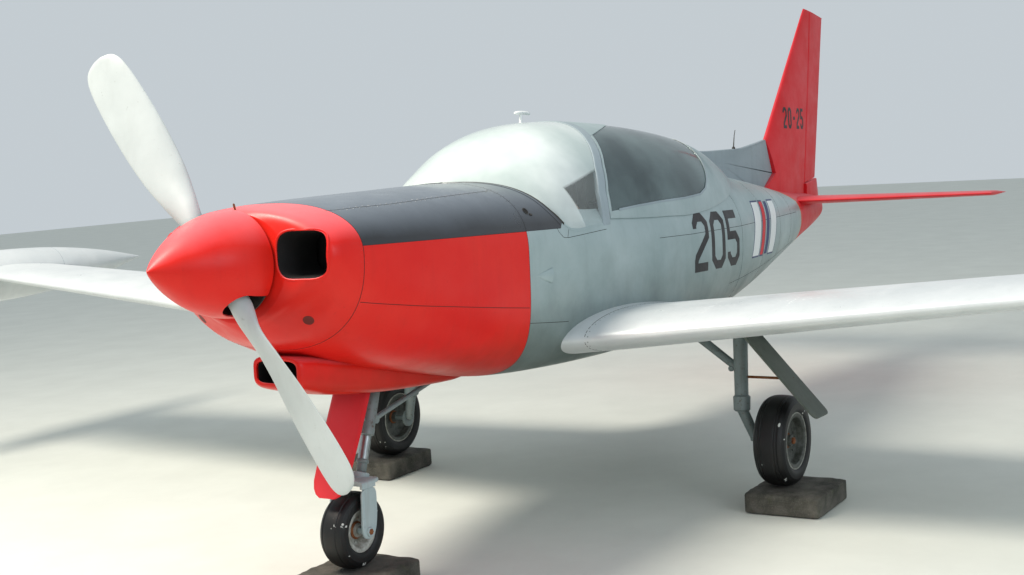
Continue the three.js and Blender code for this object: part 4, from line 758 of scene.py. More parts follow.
def bowlStation(y, h):  # where the bowl's skin passes through a point of the front view, by halving
    low, high = np.full(len(y), bowl["front"]), np.full(len(y), 619.0)
    for step in range(30):
        s = (low + high) / 2
        half, mid, reach, power = bodyHalf(s, h >= widestLine(s))
        outside = (np.abs(y) / half) ** power + (np.abs(h - mid) / reach) ** power > 1
        low, high = np.where(outside, s, low), np.where(outside, high, s)
    return (low + high) / 2


lipParts, ductParts = [], []
for side in (1, -1):
    outline, lipLine = inletOutline(side), inletOutline(side, 2.5)
    cutPiece(noseBowl, loftPart([stack(s, *outline.T) for s in (400.0, 700.0)]), sharp=50)
    station = bowlStation(*lipLine.T)
    path = column_stack([station + 3, lipLine])
    run = unit(np.roll(path, -1, 0) - np.roll(path, 1, 0))
    away = column_stack([0 * station, lipLine - array(bowl["inletAt"]) * [side, 1]])
    away = unit(away - np.sum(away * run, 1, keepdims=True) * run)
    turn = fullTurn(16)[:, None, None]
    ring = path + bowl["lip"] * (cos(turn) * away + 0.9 * sin(turn) * np.cross(run, away))
    lipParts.append((ring.reshape(-1, 3), [loopQuads(*ring.shape[:2])]))
    wide, narrow = (np.stack([column_stack([station + back + 10, inletOutline(side, grow - inset)])
                              for grow, back in ((2, -4), (0, 30), (-6, 90), (-16, 190))]) for inset in (1, 6))
    ductParts.append(shellPart(wide, narrow, wrap=True))
    rear = station.mean() + 200
    ductParts.append(loftPart([stack(s, *inletOutline(side, 4).T) for s in (rear, rear + 6)]))
makePiece("inlet_lips", lipParts, redPaint, sharp=60)
# the duct walls and the plate that closes each duct 200 mm in are near black: painted shade in the inlets
makePiece("inlet_ducts", ductParts, blackAndPaintedShade)
print("nose bowl made")

# Cowlings, deck and body skins
cowl = {"front": 620, "firewall": 1700, "skin": 10, "gap": 1.2 / 450}
well = {"front": 985, "rear": 1640, "half": 112}
wellCutter = boxPart(well["front"], well["rear"], -well["half"], well["half"], -700, -300)


def skinPart(s, low, high, wall, columns=120):  # a wall between two polar angles that may change with the station
    turn = low[:, None] + (high - low)[:, None] * linspace(0, 1, columns)
    s = np.broadcast_to(s[:, None], turn.shape)
    return shellPart(bodyPoint(s, turn), bodyPoint(s, turn, -wall))


s, gap = linspace(cowl["front"] + 0.6, cowl["firewall"] - 0.6, 56), cowl["gap"]
edge = turnAtHeight(s, deckEdge)
makePiece("upper_cowl_skin", skinPart(s, edge + gap, pi - edge - gap, cowl["skin"], 64), blackPaint, "upper_cowl")
lowerCowl = skinPart(s, pi - edge + gap / 2, 2 * pi + edge - gap / 2, cowl["skin"])
lowerCowl = makePiece("lower_cowl_skin", lowerCowl, redPaint, "lower_cowl")
cutPiece(lowerCowl, wellCutter)
front, rear = well["front"], well["rear"]
bay = [boxPart(front - 6, rear + 6, side * 118 - 3, side * 118 + 3, -540, -330) for side in (1, -1)]
bay += [boxPart(a, b, -118, 118, low, -330)
        for a, b, low in ((front - 6, rear + 6, -336), (rear + 1, rear + 7, -560), (front - 7, front - 1, -450))]
makePiece("nose_wheel_bay", bay, greyPaint)

# Chin scoop: a rounded rectangle by station, hollow at the mouth, with a rolled lip
scoopRows = [  # station, half width, top, bottom
    (622, 118, -356, -476), (640, 126, -356, -486), (700, 134, -360, -502), (820, 148, -378, -530),
    (1100, 162, -418, -562), (1400, 166, -466, -578), (1600, 160, -500, -583), (1699, 140, -520, -580),
]


def scoopRing(s, shrink):
    half, top, bottom = tableCurve(scoopRows, np.asarray(s, float)[:, None])
    c, w = cos(fullTurn(72)), sin(fullTurn(72))
    ray = rayOf(c, w, 4.2)
    rise = (top + bottom) / 2 + ((top - bottom) / 2 - shrink) * ray * w
    return stack(np.asarray(s, float)[:, None], (half - shrink) * ray * c, rise)


outer = scoopRing(concatenate([[620.0, 621.5, 625.0, 632.0], linspace(640, 1696, 60)]), 0)
easing = array([9.0, 4.0, 1.5, 0.3] + [0.0] * 60)[:, None, None]
middle = outer.mean(1, keepdims=True)
pull = outer - middle
outer = middle + pull * (1 - easing / np.linalg.norm(pull, axis=2, keepdims=True))
inner = scoopRing(concatenate([[620.5, 623.0, 630.0], linspace(645, 820, 12)]), 17)
inner[0] = middle[0] + (inner[0] - middle[0]) * 1.06
scoop = makePiece("chin_scoop", loftPart(concatenate([inner[::-1], outer])), redPaint, sharp=55)
cutPiece(scoop, wellCutter, sharp=55)
# the near black lining and plug in the scoop's throat are painted shade
s = linspace(640, 816, 8)
throat = [shellPart(scoopRing(s, 17.5), scoopRing(s, 19.5), wrap=True), loftPart(scoopRing([812.0, 817.0], 18))]
makePiece("scoop_throat", throat, blackAndPaintedShade)

# Engine block seen through the inlets and from below
makePiece("engine_block_casting", boxPart(722, 1698, -338, 338, -224, 114), ironCast, "engine_block")

# Scuttle deck in front of and under the windscreen, and the cabin skin below it up to the sill
s = concatenate([linspace(1700.6, 1980, 18), linspace(1984, 2050, 28)])
edge = edgeTurn(s)
makePiece("scuttle_deck_skin", skinPart(s, edge + 0.003, pi - edge - 0.003, 12, 80), blackPaint, "scuttle_deck")
s = concatenate([linspace(1700.6, 1980, 16), linspace(1984, 2050, 30), linspace(2065, 4149.6, 60)])
edge = edgeTurn(s)
makePiece("cabin_skin", skinPart(s, pi - edge, 2 * pi + edge, 6, 116), silverPaint, "cabin_section")

# Cabin lining: the inner wall, flat where it meets the floor, with a bulkhead at each end
cabin = {"floor": -430, "front": 1726, "rear": 4128, "inset": 20}
s = linspace(cabin["front"], cabin["rear"], 50)[:, None]
edge = np.maximum(edgeTurn(s), 0.02)
turn = pi - edge + (pi + 2 * edge) * linspace(0, 1, 80)
walls = []
for thick in (0, 4):
    walls.append(bodyPoint(np.broadcast_to(s, turn.shape), turn, -cabin["inset"] - thick))
    walls[-1][..., 2] = np.maximum(walls[-1][..., 2], cabin["floor"] + thick)
lining = [shellPart(*walls)]
for station in (cabin["front"], cabin["rear"]):
    ring = bodyPoint(np.full(90, float(station)), fullTurn(90), -cabin["inset"] - 6)
    ring[:, 2] = np.clip(ring[:, 2], cabin["floor"], 300)
    lining.append(loftPart([ring, ring + [8, 0, 0]]))
makePiece("cabin_lining", lining, cabinTrim)

# Rear body up to the slanted paint line, and the tail cone behind it with the fairing under the rudder
turn, share = fullTurn(160), linspace(0, 1, 56)[:, None]
stop = np.full(len(turn), 5800.0)
for step in range(30):  # step towards the paint line at each point's own height
    h = bodyPoint(stop, turn)[..., 2]
    stop = 0.5 * stop + 0.5 * interp(h, tailLineRows[:, 1], tailLineRows[:, 0])
grid = 4150.4 + (stop - 4150.4) * share
full = np.broadcast_to(turn, grid.shape)
rearWalls = shellPart(bodyPoint(grid, full), bodyPoint(grid, full, -6), wrap=True)
makePiece("rear_fuselage_skin", rearWalls, silverPaint, "rear_fuselage")
grid = stop + 0.6 + (6768 - stop) * linspace(0, 1, 40)[:, None]
full = np.broadcast_to(turn, grid.shape)
outer = bodyPoint(grid, full)
end = outer[-1:] + [4.0, 0, 0]
end = end.mean(1, keepdims=True) + (end - end.mean(1, keepdims=True)) * 0.8
tailShell = loftPart(concatenate([bodyPoint(grid, full, -6)[:1], outer, end]))
fairing = []
for station in linspace(6440, 6762, 14):
    half = interp(station, [6400, 6520, 6680, 6762], [36, 34, 20, 8])
    top = min(182 + (station - 6300) * 0.14, 300 - max(0.0, station - 6700) * 3.4)
    outline = roundCorners([(half, top), (-half, top), (-half, 40), (half, 40)], min(half * 0.8, 14), 5)
    fairing.append(column_stack([np.full(len(outline), station), outline]))
makePiece("tail_cone_skin", [tailShell, loftPart(fairing)], redTailPaint, "tail_cone", sharp=45)
print("body skins made")

# Windscreen, bow and sliding canopy
glazing = {"thickness": 6, "bowHalf": 36, "gap": 6, "hoop": 20, "rear": 4735}
lift = glazing["gap"] + 1.0


def glassSpan(s, out=0.0, lift=0.0, low=None, high=None):  # the polar angles between which the glass runs
    foot = low(s) if low else sillTurn(s, out, lift)
    return foot, high(s) if high else pi - foot


def glassToBow(share, shift, out=0.0, lift=0.0, low=None, high=None):
    # the station at which each line of the glass meets the slanted bow, found by stepping towards it
    s = np.full(share.shape, 2450.0)
    for step in range(40):
        foot, top = glassSpan(s, out, lift, low, high)
        h = glassPoint(s, foot + (top - foot) * share, out)[..., 2]
        s = 0.5 * s + 0.5 * (interp(h, bowRows[:, 1], bowRows[:, 0]) + shift)
    return s


def glassShell(s, foot, top, share, out, deep):
    turn = foot + (top - foot) * share
    return shellPart(glassPoint(s, turn, out), glassPoint(s, turn, deep))


share = linspace(0, 1, 97)
end = glassToBow(share, -glazing["bowHalf"] - 0.4)
s = 1783 + (end - 1783) * linspace(0, 1, 60)[:, None] ** 1.15
sheet = glassShell(s, *glassSpan(s, 0, 0.3), share, 0, -glazing["thickness"])
makePiece("windscreen_sheet", sheet, windscreenGlass, "windscreen", sharp=60)

# the bow band with its rolled edges
shifts = [-36.0, -35.0, -33.0, *linspace(-28, 28, 9), 33.0, 35.0, 36.0]
outs = array([0.5, 3.0, 4.2] + [4.8] * 9 + [4.2, 3.0, 0.5])[:, None]
s = np.stack([glassToBow(share, shift, 4.0, 0.3) for shift in shifts])
band = glassShell(s, *glassSpan(s, 4.0, 0.3), share, outs, -16.0)
makePiece("windscreen_bow_band", band, greyPaint, "windscreen_bow", slot="aluminium_silver_paint", sharp=40)

# the canopy's frame: a skirt along each sill, the front hoop behind the bow and the painted roof panel
skirtTurn = lambda s: glassTurnAtHeight(s, interp(s, skirtRows[:, 0], skirtRows[:, 1]))
low = lambda s: sillTurn(s, 3.0, lift)
high = lambda s: np.maximum(skirtTurn(s), low(s) + 1e-3)
frameFront = glazing["bowHalf"] + glazing["gap"]
across = linspace(0, 1, 18)
start = glassToBow(across, frameFront, 3.0, low=low, high=high)
s = start + (glazing["rear"] - start) * linspace(0, 1, 110)[:, None]
turn = low(s) + (high(s) - low(s)) * across
skirts = [shellPart(glassPoint(s, t, 3.0), glassPoint(s, t, -5.0)) for t in (turn, pi - turn)]
s = np.stack([glassToBow(share, frameFront + shift, 3.0, lift) for shift in (0.0, 1.0, 10.0, 19.0, 20.0)])
hoop = glassShell(s, *glassSpan(s, 3.0, lift), share, array([2.0, 3.2, 3.4, 3.2, 2.0])[:, None], -10.0)
roofRows = [(2500, 312), (2680, 290), (2900, 228), (3060, 168), (3130, 136), (3170, 102), (3188, 72), (3197, 40),
            (3200, 8)]
across = linspace(-1, 1, 45)
start = interp(np.abs(across), [0, 1], [2745, 2660]) + 10
s = start + (3200 - start) * linspace(0, 1, 36)[:, None]
half, top, power = tableCurve(canopyRows, s)
y = across * tableCurve(roofRows, s)[0]
reach = np.abs(y) / (half + 3)
turn = np.arctan2((1 - reach**power) ** (1 / power), np.sign(y) * reach)
roof = shellPart(glassPoint(s, turn, 3.6), glassPoint(s, turn, 0.4))
canopyFrame = [*skirts, hoop, roof]
canopyFrame = makePiece("canopy_frame_skin", canopyFrame, silverPaint, "canopy_frame", body="canopy", sharp=50)
slot = boxPart(4150, 5000, -20, 20, 150, 800)
cutPiece(canopyFrame, slot, sharp=50)

# the blown glass between the skirts, round at its rear end
stations = linspace(2600, 4735, 2000)
glassEnd = float(stations[skirtTurn(stations) > pi / 2 - 0.02][0])
low = lambda s: np.minimum(skirtTurn(s), pi / 2 - 0.004)
across = linspace(0, 1, 89)
start = glassToBow(across, frameFront + glazing["hoop"] - 2, low=low)
s = start + (glassEnd - start) * sin(pi / 2 * linspace(0, 1, 72))[:, None]
sheet = glassShell(s, low(s), pi - low(s), across, 0.0, 1 - glazing["thickness"])
canopySheet = makePiece("canopy_sheet", sheet, canopyGlass, "canopy_glass", body="canopy", sharp=60)
cutPiece(canopySheet, slot, sharp=60)


# Seals: a dark strip round the windscreen foot and a pale bead round the rear glass
def windscreenFoot(rear):  # up the port sill, across the crown and down the starboard sill
    s = concatenate([linspace(rear, 1800, 60), linspace(1798, 1785, 8)])
    port = glassPoint(s, sillTurn(s, 1.0), 1.0)
    y = linspace(port[-1, 1], -port[-1, 1], 25)[1:-1]
    crown = port[-1, 0] + 6 * (1 - (y / port[-1, 1]) ** 2)
    line = concatenate([port, stack(crown, y, crownHeight(crown, y) + 1), port[::-1] * [1, -1, 1]])
    return line, outward(bodyPoint, line[:, 0], turnOf(line))


makePiece("windscreen_seal", ribbonPart(*windscreenFoot(2024), 12, 2.4), sealRubber)
s = linspace(2026, 2376, 50)
bead = ribbonPart(glassPoint(s, sillTurn(s, 1.0), 1.0), outward(bodyPoint, s, sillOnBody(s, 1.0)), 7, 1.4)
makePiece("windscreen_sill_bead", [bead, mirrored(bead)], silverPaint, slot=None)

# the black strip that laps over the windscreen foot
foot, normal = windscreenFoot(2030)
ahead = np.cross(normal, unit(np.gradient(foot, axis=0)))
strip = foot - ahead * np.sign(ahead[:, :1]) * 15
s, turn = strip[:, 0], turnOf(strip)
strip, normal = bodyPoint(s, turn), outward(bodyPoint, s, turn)
keep = strip[:, 2] > deckEdge + 16
makePiece("windscreen_foot_strip", ribbonPart(strip[keep], normal[keep], 27, 1.6), blackPaint)
s = linspace(2560, glassEnd - 1, 160)
beads = [ribbonPart(glassPoint(s, t, 3.0), outward(glassPoint, s, t), 12, 2.2) for t in (low(s), pi - low(s))]
makePiece("canopy_glass_bead", beads, greyPaint, body="canopy")
print("glazing made")

# Wing: a streamlined section by side, swelling into its root fillet
wing = {"inner": 520, "outer": 3860, "quarter": 2424, "rootChord": 1550, "tipChord": 800, "rootHeight": -448,
        "dihedral": 5.3, "camber": 0.018}
filletRows = [(380, 42, 260, 1.06, 6), (500, 22, 170, 1.04, 4), (560, 8, 70, 1.01, 1), (640, 1, 14, 1, 0),
              (720, 0, 0, 1, 0), (900, 0, 0, 1, 0)]
hinged = {"flap": (744, 2030, 0.72, 14), "aileron": (2110, 3740, 0.74, 6)}  # two sides, hinge share, end gap


def halfThickness(x, thick):  # the usual four digit thickness law
    return 5 * thick * (0.2969 * np.sqrt(x) - 0.126 * x - 0.3516 * x**2 + 0.2843 * x**3 - 0.1015 * x**4)


def wingRow(y):
    y = np.asarray(y, float)
    share = (y - wing["inner"]) / (wing["outer"] - wing["inner"])
    plain = wing["rootChord"] + (wing["tipChord"] - wing["rootChord"]) * share
    ahead, behind, swell, raised = tableCurve(filletRows, np.maximum(y, 380))
    chord = plain + ahead + behind
    height = wing["rootHeight"] + np.tan(radians(wing["dihedral"])) * (y - wing["inner"]) + raised
    return {"y": y, "chord": chord, "lead": wing["quarter"] - 0.25 * plain - ahead, "height": height,
            "thick": (0.125 - 0.02 * share) * swell * plain / chord, "twist": radians(1.5 - 1.5 * share)}


def onChord(row, x, z):  # a point a share x along and z above the chord line, turned by the twist
    c, n = cos(row["twist"]), sin(row["twist"])
    chord = row["chord"]
    return stack(row["lead"] + chord * (x * c + z * n), row["y"], row["height"] + chord * (z * c - x * n))


def skinLine(row, x, side, half=None):  # the upper or lower skin over chord shares, or a given half thickness there
    half = halfThickness(x, row["thick"]) if half is None else half
    return np.stack([x, 4 * wing["camber"] * x * (1 - x) + side * half])


def wingSurface(y, x, side=1):
    row = wingRow(y)
    return onChord(row, *skinLine(row, x, side))


def wingNormal(y, x, side):
    here = wingSurface(y, x, side)
    normal = unit(np.cross(wingSurface(y, x + 0.001, side) - here, wingSurface(y + 1, x, side) - here))
    return normal * np.sign(normal[:, 2:]) * side


def wingPart():
    ends = [end + d for y0, y1, share, gap in hinged.values() for end in (y0 - gap, y1 + gap) for d in (-0.05, 0.05)]
    rings = []
    for y in np.unique(concatenate([linspace(380, 740, 28), linspace(745, wing["outer"], 60), ends])):
        row = wingRow(y)
        share = 0.72 if y < 2070 else 0.74
        cut = share - halfThickness(share, row["thick"]) - 6 / row["chord"]
        front = cut * (0.5 - 0.5 * cos(pi * linspace(0, 1, 44)))
        lines = [skinLine(row, front[::-1], 1), skinLine(row, front[1:], -1)]
        if any(y0 - gap < y < y1 + gap for y0, y1, hinge, gap in hinged.values()):  # a flat back ahead of a hinge
            back, half = np.full(9, cut), halfThickness(cut, row["thick"]) * linspace(1, 0, 10)[1:]
        else:
            back, half = cut + (1 - cut) * linspace(0, 1, 10)[1:], None
        lines = [skinLine(row, back, 1, half)[:, ::-1], *lines, skinLine(row, back, -1, half)]
        rings.append(onChord(row, *concatenate(lines, 1)))
    return loftPart(rings)


def hingedPart(y0, y1, share):
    rings = []
    for y in linspace(y0, y1, 8):
        row = wingRow(y)
        back = share + (1 - share) * linspace(1, 0.12, 12)
        radius = halfThickness(share, row["thick"]) - 1.5 / row["chord"]
        turn = linspace(pi / 2, 3 * pi / 2, 20)
        nose = skinLine(row, np.full(20, share), 0) + radius * np.stack([cos(turn), sin(turn)])
        rings.append(onChord(row, *concatenate([skinLine(row, back, 1), nose, skinLine(row, back, -1)[:, ::-1]], 1)))
    return loftPart(rings)


makePair("wing", wingPart(), wingPaint, "wing", suffix="_skin", sharp=30)
for name, (y0, y1, share, gap) in hinged.items():
    makePair(name, hingedPart(y0, y1, share), wingPaint, name, body=name + "_", suffix="_skin", sharp=30)

# Tip tanks: a long drop, its tail drawn out to a point
tank = {"side": 4010, "nose": 1600, "tail": 3690, "radius": 165, "drop": 12, "tiltDegrees": 2.5}
tankRows = [(0, 0.0), (0.004, 0.1), (0.015, 0.2), (0.05, 0.42), (0.11, 0.65), (0.2, 0.86), (0.31, 0.98), (0.42, 1),
            (0.56, 0.93), (0.7, 0.76), (0.84, 0.48), (0.94, 0.2), (1, 0.012)]
along = concatenate([linspace(0, 0.05, 16), linspace(0.06, 1, 60)])
size = tableCurve(tankRows, along)[0] * tank["radius"]
size[0], size[-1] = 0.2, 1.0
length, slant = tank["tail"] - tank["nose"], radians(tank["tiltDegrees"])
tankAxis, tankUp = array([cos(slant), 0, sin(slant)]), array([-sin(slant), 0, cos(slant)])
tankHeight = float(wingRow(wing["outer"])["height"]) - tank["drop"]
tankMiddle = array([(tank["nose"] + tank["tail"]) / 2, tank["side"], tankHeight])
tankBody = lathePart(column_stack([size, (along - 0.5) * length]), tankMiddle, tankAxis, 72)
makePair("tank_skin", tankBody, wingPaint, "tip_tank")


def tankPoint(share, turn, out=0.0):
    around = np.multiply.outer(cos(turn), [0, 1, 0]) + np.multiply.outer(sin(turn), tankUp)
    return tankMiddle + (share - 0.5) * length * tankAxis + (interp(share, along, size) + out) * around


tankDetails = []
for share in (0.3, 0.62):  # the joints between nose, middle and tail shells
    line = tankPoint(share, linspace(0, 2 * pi, 90))
    tankDetails.append(ribbonPart(line, line - (tankMiddle + (share - 0.5) * length * tankAxis), 4, 0.0001))
cap = [(0.5, 0), (38, 0), (38, 4), (34, 6.5), (20, 6.5), (18, 9), (0.5, 9)]
capAt, capTop = (tankPoint(0.36, pi / 2 - 0.15, out) for out in (-2.0, 5.0))
tankDetails.append(lathePart(cap, capAt, capTop - capAt, 32))
makePair("tank_details", tankDetails, greyPaint)
print("wings made")

# Tail surfaces
tail = {"height": 84, "hinge": 6430, "rootSide": 60, "rootFront": 5895, "rootRear": 6770, "tipSide": 1420,
        "tipFront": 6125, "tipRear": 6580, "thick": 0.07, "elevatorInner": 168, "tipRound": 24}
finRows = array([  # height, front, hinge, rear, thickness share
    (40, 5600, 6412, 6664, 0.075), (246, 5620, 6449, 6709, 0.075), (517, 5710, 6498, 6768, 0.075),
    (1000, 6137, 6585, 6873, 0.078), (1490, 6570, 6673, 6979, 0.08),
])


def fixedOutline(front, hinge, rear, thick):  # the section ahead of the hinge, its back edge flat
    chord = rear - front
    share = (hinge - front) / chord
    stop = share - halfThickness(share, thick) - 6 / chord
    x = stop * (0.5 - 0.5 * cos(pi * linspace(0, 1, 40)))
    z = halfThickness(x, thick)
    return front + chord * concatenate([x[::-1], x[1:]]), chord * concatenate([z[::-1], -z[1:]])


def movingOutline(front, hinge, rear, thick):  # the section behind the hinge, its nose round
    chord = rear - front
    share = (hinge - front) / chord
    back = share + (1 - share) * linspace(1, 0.1, 12)
    radius, half = halfThickness(share, thick), halfThickness(back, thick)
    turn = linspace(pi / 2, 3 * pi / 2, 18)
    x = concatenate([back, share + radius * cos(turn), back[::-1]])
    return front + chord * x, chord * concatenate([half, radius * sin(turn), -half[::-1]])


def tailPart(make, y0):  # the tip is rounded over its last millimetres
    edge = tail["tipSide"] - tail["tipRound"]
    rings = []
    for y in concatenate([linspace(y0, edge, 24), edge + tail["tipRound"] * sin(linspace(0, pi / 2, 9)[1:])]):
        share = (y - tail["rootSide"]) / (tail["tipSide"] - tail["rootSide"])
        front = tail["rootFront"] + (tail["tipFront"] - tail["rootFront"]) * share
        rear = tail["rootRear"] + (tail["tipRear"] - tail["rootRear"]) * share
        x, z = make(front, tail["hinge"], rear, tail["thick"])
        rounding = np.sqrt(max(0.0, 1 - max(0.0, (y - edge) / tail["tipRound"]) ** 2))
        rings.append(stack(x, y, tail["height"] + z * max(rounding, 0.05)))
    return loftPart(rings)


makePair("tailplane", tailPart(fixedOutline, tail["rootSide"] + 20), redTailPaint, "tailplane", suffix="_skin")
movingTail = tailPart(movingOutline, tail["elevatorInner"])
tube = barPart((tail["hinge"], -200, tail["height"]), (tail["hinge"], 200, tail["height"]), 12, ease=1)
makePiece("elevator_skin", [movingTail, mirrored(movingTail), tube], redTailPaint, "elevator", body="elevator")


def finPart(make, low, cutTop):  # sections stacked upward, trimmed to the slanted foot and top lines
    rings, high = [], 1490
    for h in concatenate([linspace(low, 517, 12), linspace(530, high, 26)]):
        x, z = make(*(interp(h, finRows[:, 0], column) for column in finRows.T[1:]))
        top = 1490 - np.maximum(x - 6520, 0) * 52 / 580
        foot = 188 + (x - 6300) * 0.14
        rise = top if h >= high - 1e-6 else foot if cutTop and h <= low + 1e-6 else h
        rings.append(stack(x, z, np.clip(rise, foot, top) if cutTop else np.minimum(rise, top)))
    return loftPart(rings + [rings[-1] * [1, 0.5, 1] + [0, 0, 4]])


fin = makePiece("fin_skin", finPart(fixedOutline, 60, False), redTailPaint, "fin")
dorsalLine = [(5580, 140), (5819.5, 285), (5708.5, 518), (5660, 545), (5200, 545), (5200, 140)]
cutPiece(fin, loftPart([[(s, y, h) for s, h in dorsalLine] for y in (-200, 200)]))
onHinge = lambda h: (6449 + (6673 - 6449) / (1490 - 246) * (h - 246), 0, h)
rudderParts = [finPart(movingOutline, 190, True), barPart(onHinge(112), onHinge(300), 10, ease=1)]
makePiece("rudder_skin", rudderParts, redTailPaint, "rudder", body="rudder")
outline = [(4160, 150), (4160, 452), (4310, 428), (4420, 436), (4720, 436), (5270, 456), (5708.5, 517.5),
           (5819.5, 285), (5580, 140)]
outline = roundCorners(outline, [0, 12, 60, 60, 80, 80, 2, 0, 0], 5)
dorsalFin = platePart(outline, 24, 5, lambda line, d: stack(line[:, 0], d - 12, line[:, 1]))
makePiece("dorsal_fin_skin", dorsalFin, greyPaint, "dorsal_fin")
print("tail made")

# Wheels: a grooved tyre on a two part cast rim, about the Y axis
noseWheel = {"station": 1030, "side": 0, "radius": 158, "width": 120, "rim": 80, "grooves": (-33, 33)}
mainWheel = {"station": 2848, "side": 1169, "radius": 216, "width": 155, "rim": 122, "grooves": (-47, -33, 33, 47)}


def axleHeight(wheel):
    return (wheel["radius"] + 0.4 - 1313 + wheel["station"] * sin(tilt)) / cos(tilt)


def tyreProfile(wheel):  # half section: bead, round sidewall, shoulder and a gently crowned tread with grooves
    half, deep = wheel["width"] / 2, wheel["radius"] - wheel["rim"]
    turn = linspace(-1.25, pi + 1.25, 80)
    ray = rayOf(cos(turn), sin(turn), 2.7)
    radius = wheel["rim"] + deep * 0.45 + np.where(sin(turn) > 0, deep * 0.55, deep * 0.45) * ray * sin(turn)
    dense, step = linspace(0, 1, 170), linspace(0, 1, len(turn))
    across, radius = interp(dense, step, -half * ray * cos(turn)), interp(dense, step, radius)
    for groove in wheel["grooves"]:
        radius = radius - 3.0 * np.clip(1.6 - np.abs(across - groove) / 1.8, 0, 1) * (radius > wheel["radius"] - 16)
    for rib in (0.62, 0.8):  # faint moulding rings on the sidewalls
        swell = np.exp(-((radius - wheel["rim"] - deep * rib) / 2.0) ** 2) * (np.abs(across) > half * 0.55)
        across = across + np.sign(across) * 1.2 * swell
    return column_stack([np.maximum(np.minimum(radius, wheel["radius"]), wheel["rim"] + 0.8), across])


def wheelParts(wheel, flange, dish):  # tyre, rim with its bolts, hub rings and rim rings
    centre, axis = array([wheel["station"], wheel["side"], axleHeight(wheel)]), array([0.0, 1.0, 0.0])
    turn, rim, half = fullTurn(72)[:, None], wheel["rim"], wheel["width"] / 2
    around = cos(turn) * [1, 0, 0] + sin(turn) * [0, 0, 1]
    spin = lambda line: ((centre + line[:, None, 1:] * axis + line[:, None, :1] * around).reshape(-1, 3),
                         [loopQuads(len(line), 72)])
    bead = half * (1 - (1 - (flange - rim) / ((wheel["radius"] - rim) * 0.45)) ** 2.7) ** (1 / 2.7)
    wall = array([
        (15, -half * 0.6), (26, -half * 0.6), (30, -half * 0.4), (34, -dish), (rim - 30, -dish - 2),
        (rim - 18, -dish - 10), (rim - 10, -bead), (rim - 5, -bead - 3), (flange, -bead - 4), (flange + 2, -bead - 1),
        (flange - 1, -bead + 1), (rim, -half * 0.4),
    ])
    casting = [spin(concatenate([wall, wall[::-1] * [1, -1]]))]
    bolt = [(0.3, 0), (6.5, 0), (6.5, 5), (4, 6.5), (0.3, 6.5)]
    for angle in fullTurn(6) + 0.3:
        reach = (rim - 40 if rim > 100 else rim - 30) * array([cos(angle), 0, sin(angle)])
        casting.append(lathePart(bolt, centre + axis * (dish + 1) + reach, axis, 6))
    hub = [(15.5, -dish + 2), (36, -dish + 2), (37, -dish - 4), (33, -dish - 9), (22, -dish - 12), (15.5, -dish - 12)]
    edge = [(flange - 4, bead + 1), (flange - 3, bead + 5.5), (flange + 1, bead + 6), (flange + 3.5, bead + 3),
            (flange + 3, bead - 1)]
    hubs, rings = ([ringPart(line, centre, axis * way, steps) for way in (1, -1)]
                   for line, steps in ((hub, 36), (edge, 72)))
    return spin(tyreProfile(wheel)), casting, hubs, rings


tyre, casting, hubs, rings = wheelParts(noseWheel, 87, 16)
for name, parts, finish, node, sharp in (
        ("tyre_rubber", tyre, rubber, "nose_tyre", 40), ("rim_casting", casting, castAlloy, "nose_rim", 40),
        ("hub_rings", hubs, rust, None, 40), ("rim_rings", rings, castAlloy, None, 60)):
    makePiece("nose_" + name, parts, finish, node, body="nose_wheel", sharp=sharp)
tyre, casting, hubs, rings = wheelParts(mainWheel, 134, 22)
for name, parts, finish, node, sharp in (
        ("tyre_rubber", tyre, rubber, "main_tyre", 40), ("rim_casting", casting, darkAlloy, "main_rim", 40),
        ("hub_rings", hubs, rust, None, 40), ("rim_rings", rings, castAlloy, None, 60)):
    makePair("main_" + name, parts, finish, node, body="main_wheel_", sharp=sharp)

# Nose leg: a raked tube and piston, torque links, fork, axle and the door ahead of it
noseGear = {"topStation": 1318, "topHeight": -250, "forkTop": -896, "plate": 12}
ox, axle, forkTop, plate = noseWheel["station"], axleHeight(noseWheel), noseGear["forkTop"], noseGear["plate"]
rake = (noseGear["topStation"] - ox) / (noseGear["topHeight"] - axle)
onSteer = lambda h: array([ox + rake * (h - axle), 0.0, h])
steerAxis = onSteer(-200) - onSteer(-900)
legProfile = [
    (0.5, 0), (20, 0), (21.5, 2), (21.5, 34), (25, 36), (26.5, 39), (26.5, 46), (25, 49), (21.5, 51), (21.5, 150),
    (26, 152), (32, 156), (32, 182), (30, 185), (30, 640), (0.5, 640),
]
leg = [lathePart(legProfile, onSteer(forkTop + 0.6), steerAxis, 36)]
leg.append(barPart(onSteer(-690), (1020, 0, -666), 7, ease=1.5, steps=14))
makePiece("nose_leg_tube", leg, gearPaint, "nose_leg", sharp=40)
sleeve = ringPart([(21.0, 54), (22.2, 54), (22.2, 148), (21.0, 148)], onSteer(forkTop), steerAxis, 32)
makePiece("nose_piston_sleeve", sleeve, chrome)

forkHead = [(0.5, -34), (34, -34), (36, -30), (36, -6), (31, -2), (22, -0.4), (0.5, -0.4)]
forkOuter = noseWheel["width"] / 2 + 15 + plate
inside, crownFront = forkOuter - plate - 1, onSteer(forkTop)[0] + 30
crown = [(ox - 22, -inside), (crownFront, -inside), (crownFront, inside), (ox - 22, inside)]
crown = platePart(roundCorners(crown, 22, 6), 18, 4, lambda line, d: stack(*line.T, forkTop - 40 + d))
yoke = [(-forkOuter, -944.6), (-forkOuter, -912), (forkOuter, -912), (forkOuter, -944.6)]
yoke = roundCorners(yoke, [0, 30, 30, 0], 8)
rise = yoke[:, 1:]
yokeInside = yoke * [1 - plate / forkOuter, 1] - [0, plate] * (rise > -945) * ramp(rise, -945, -912)
yoke = shellPart(*(np.stack([stack(s, *line.T) for s in linspace(ox - 33, ox + 55, 8)], 1)
                   for line in (yoke, yokeInside)))
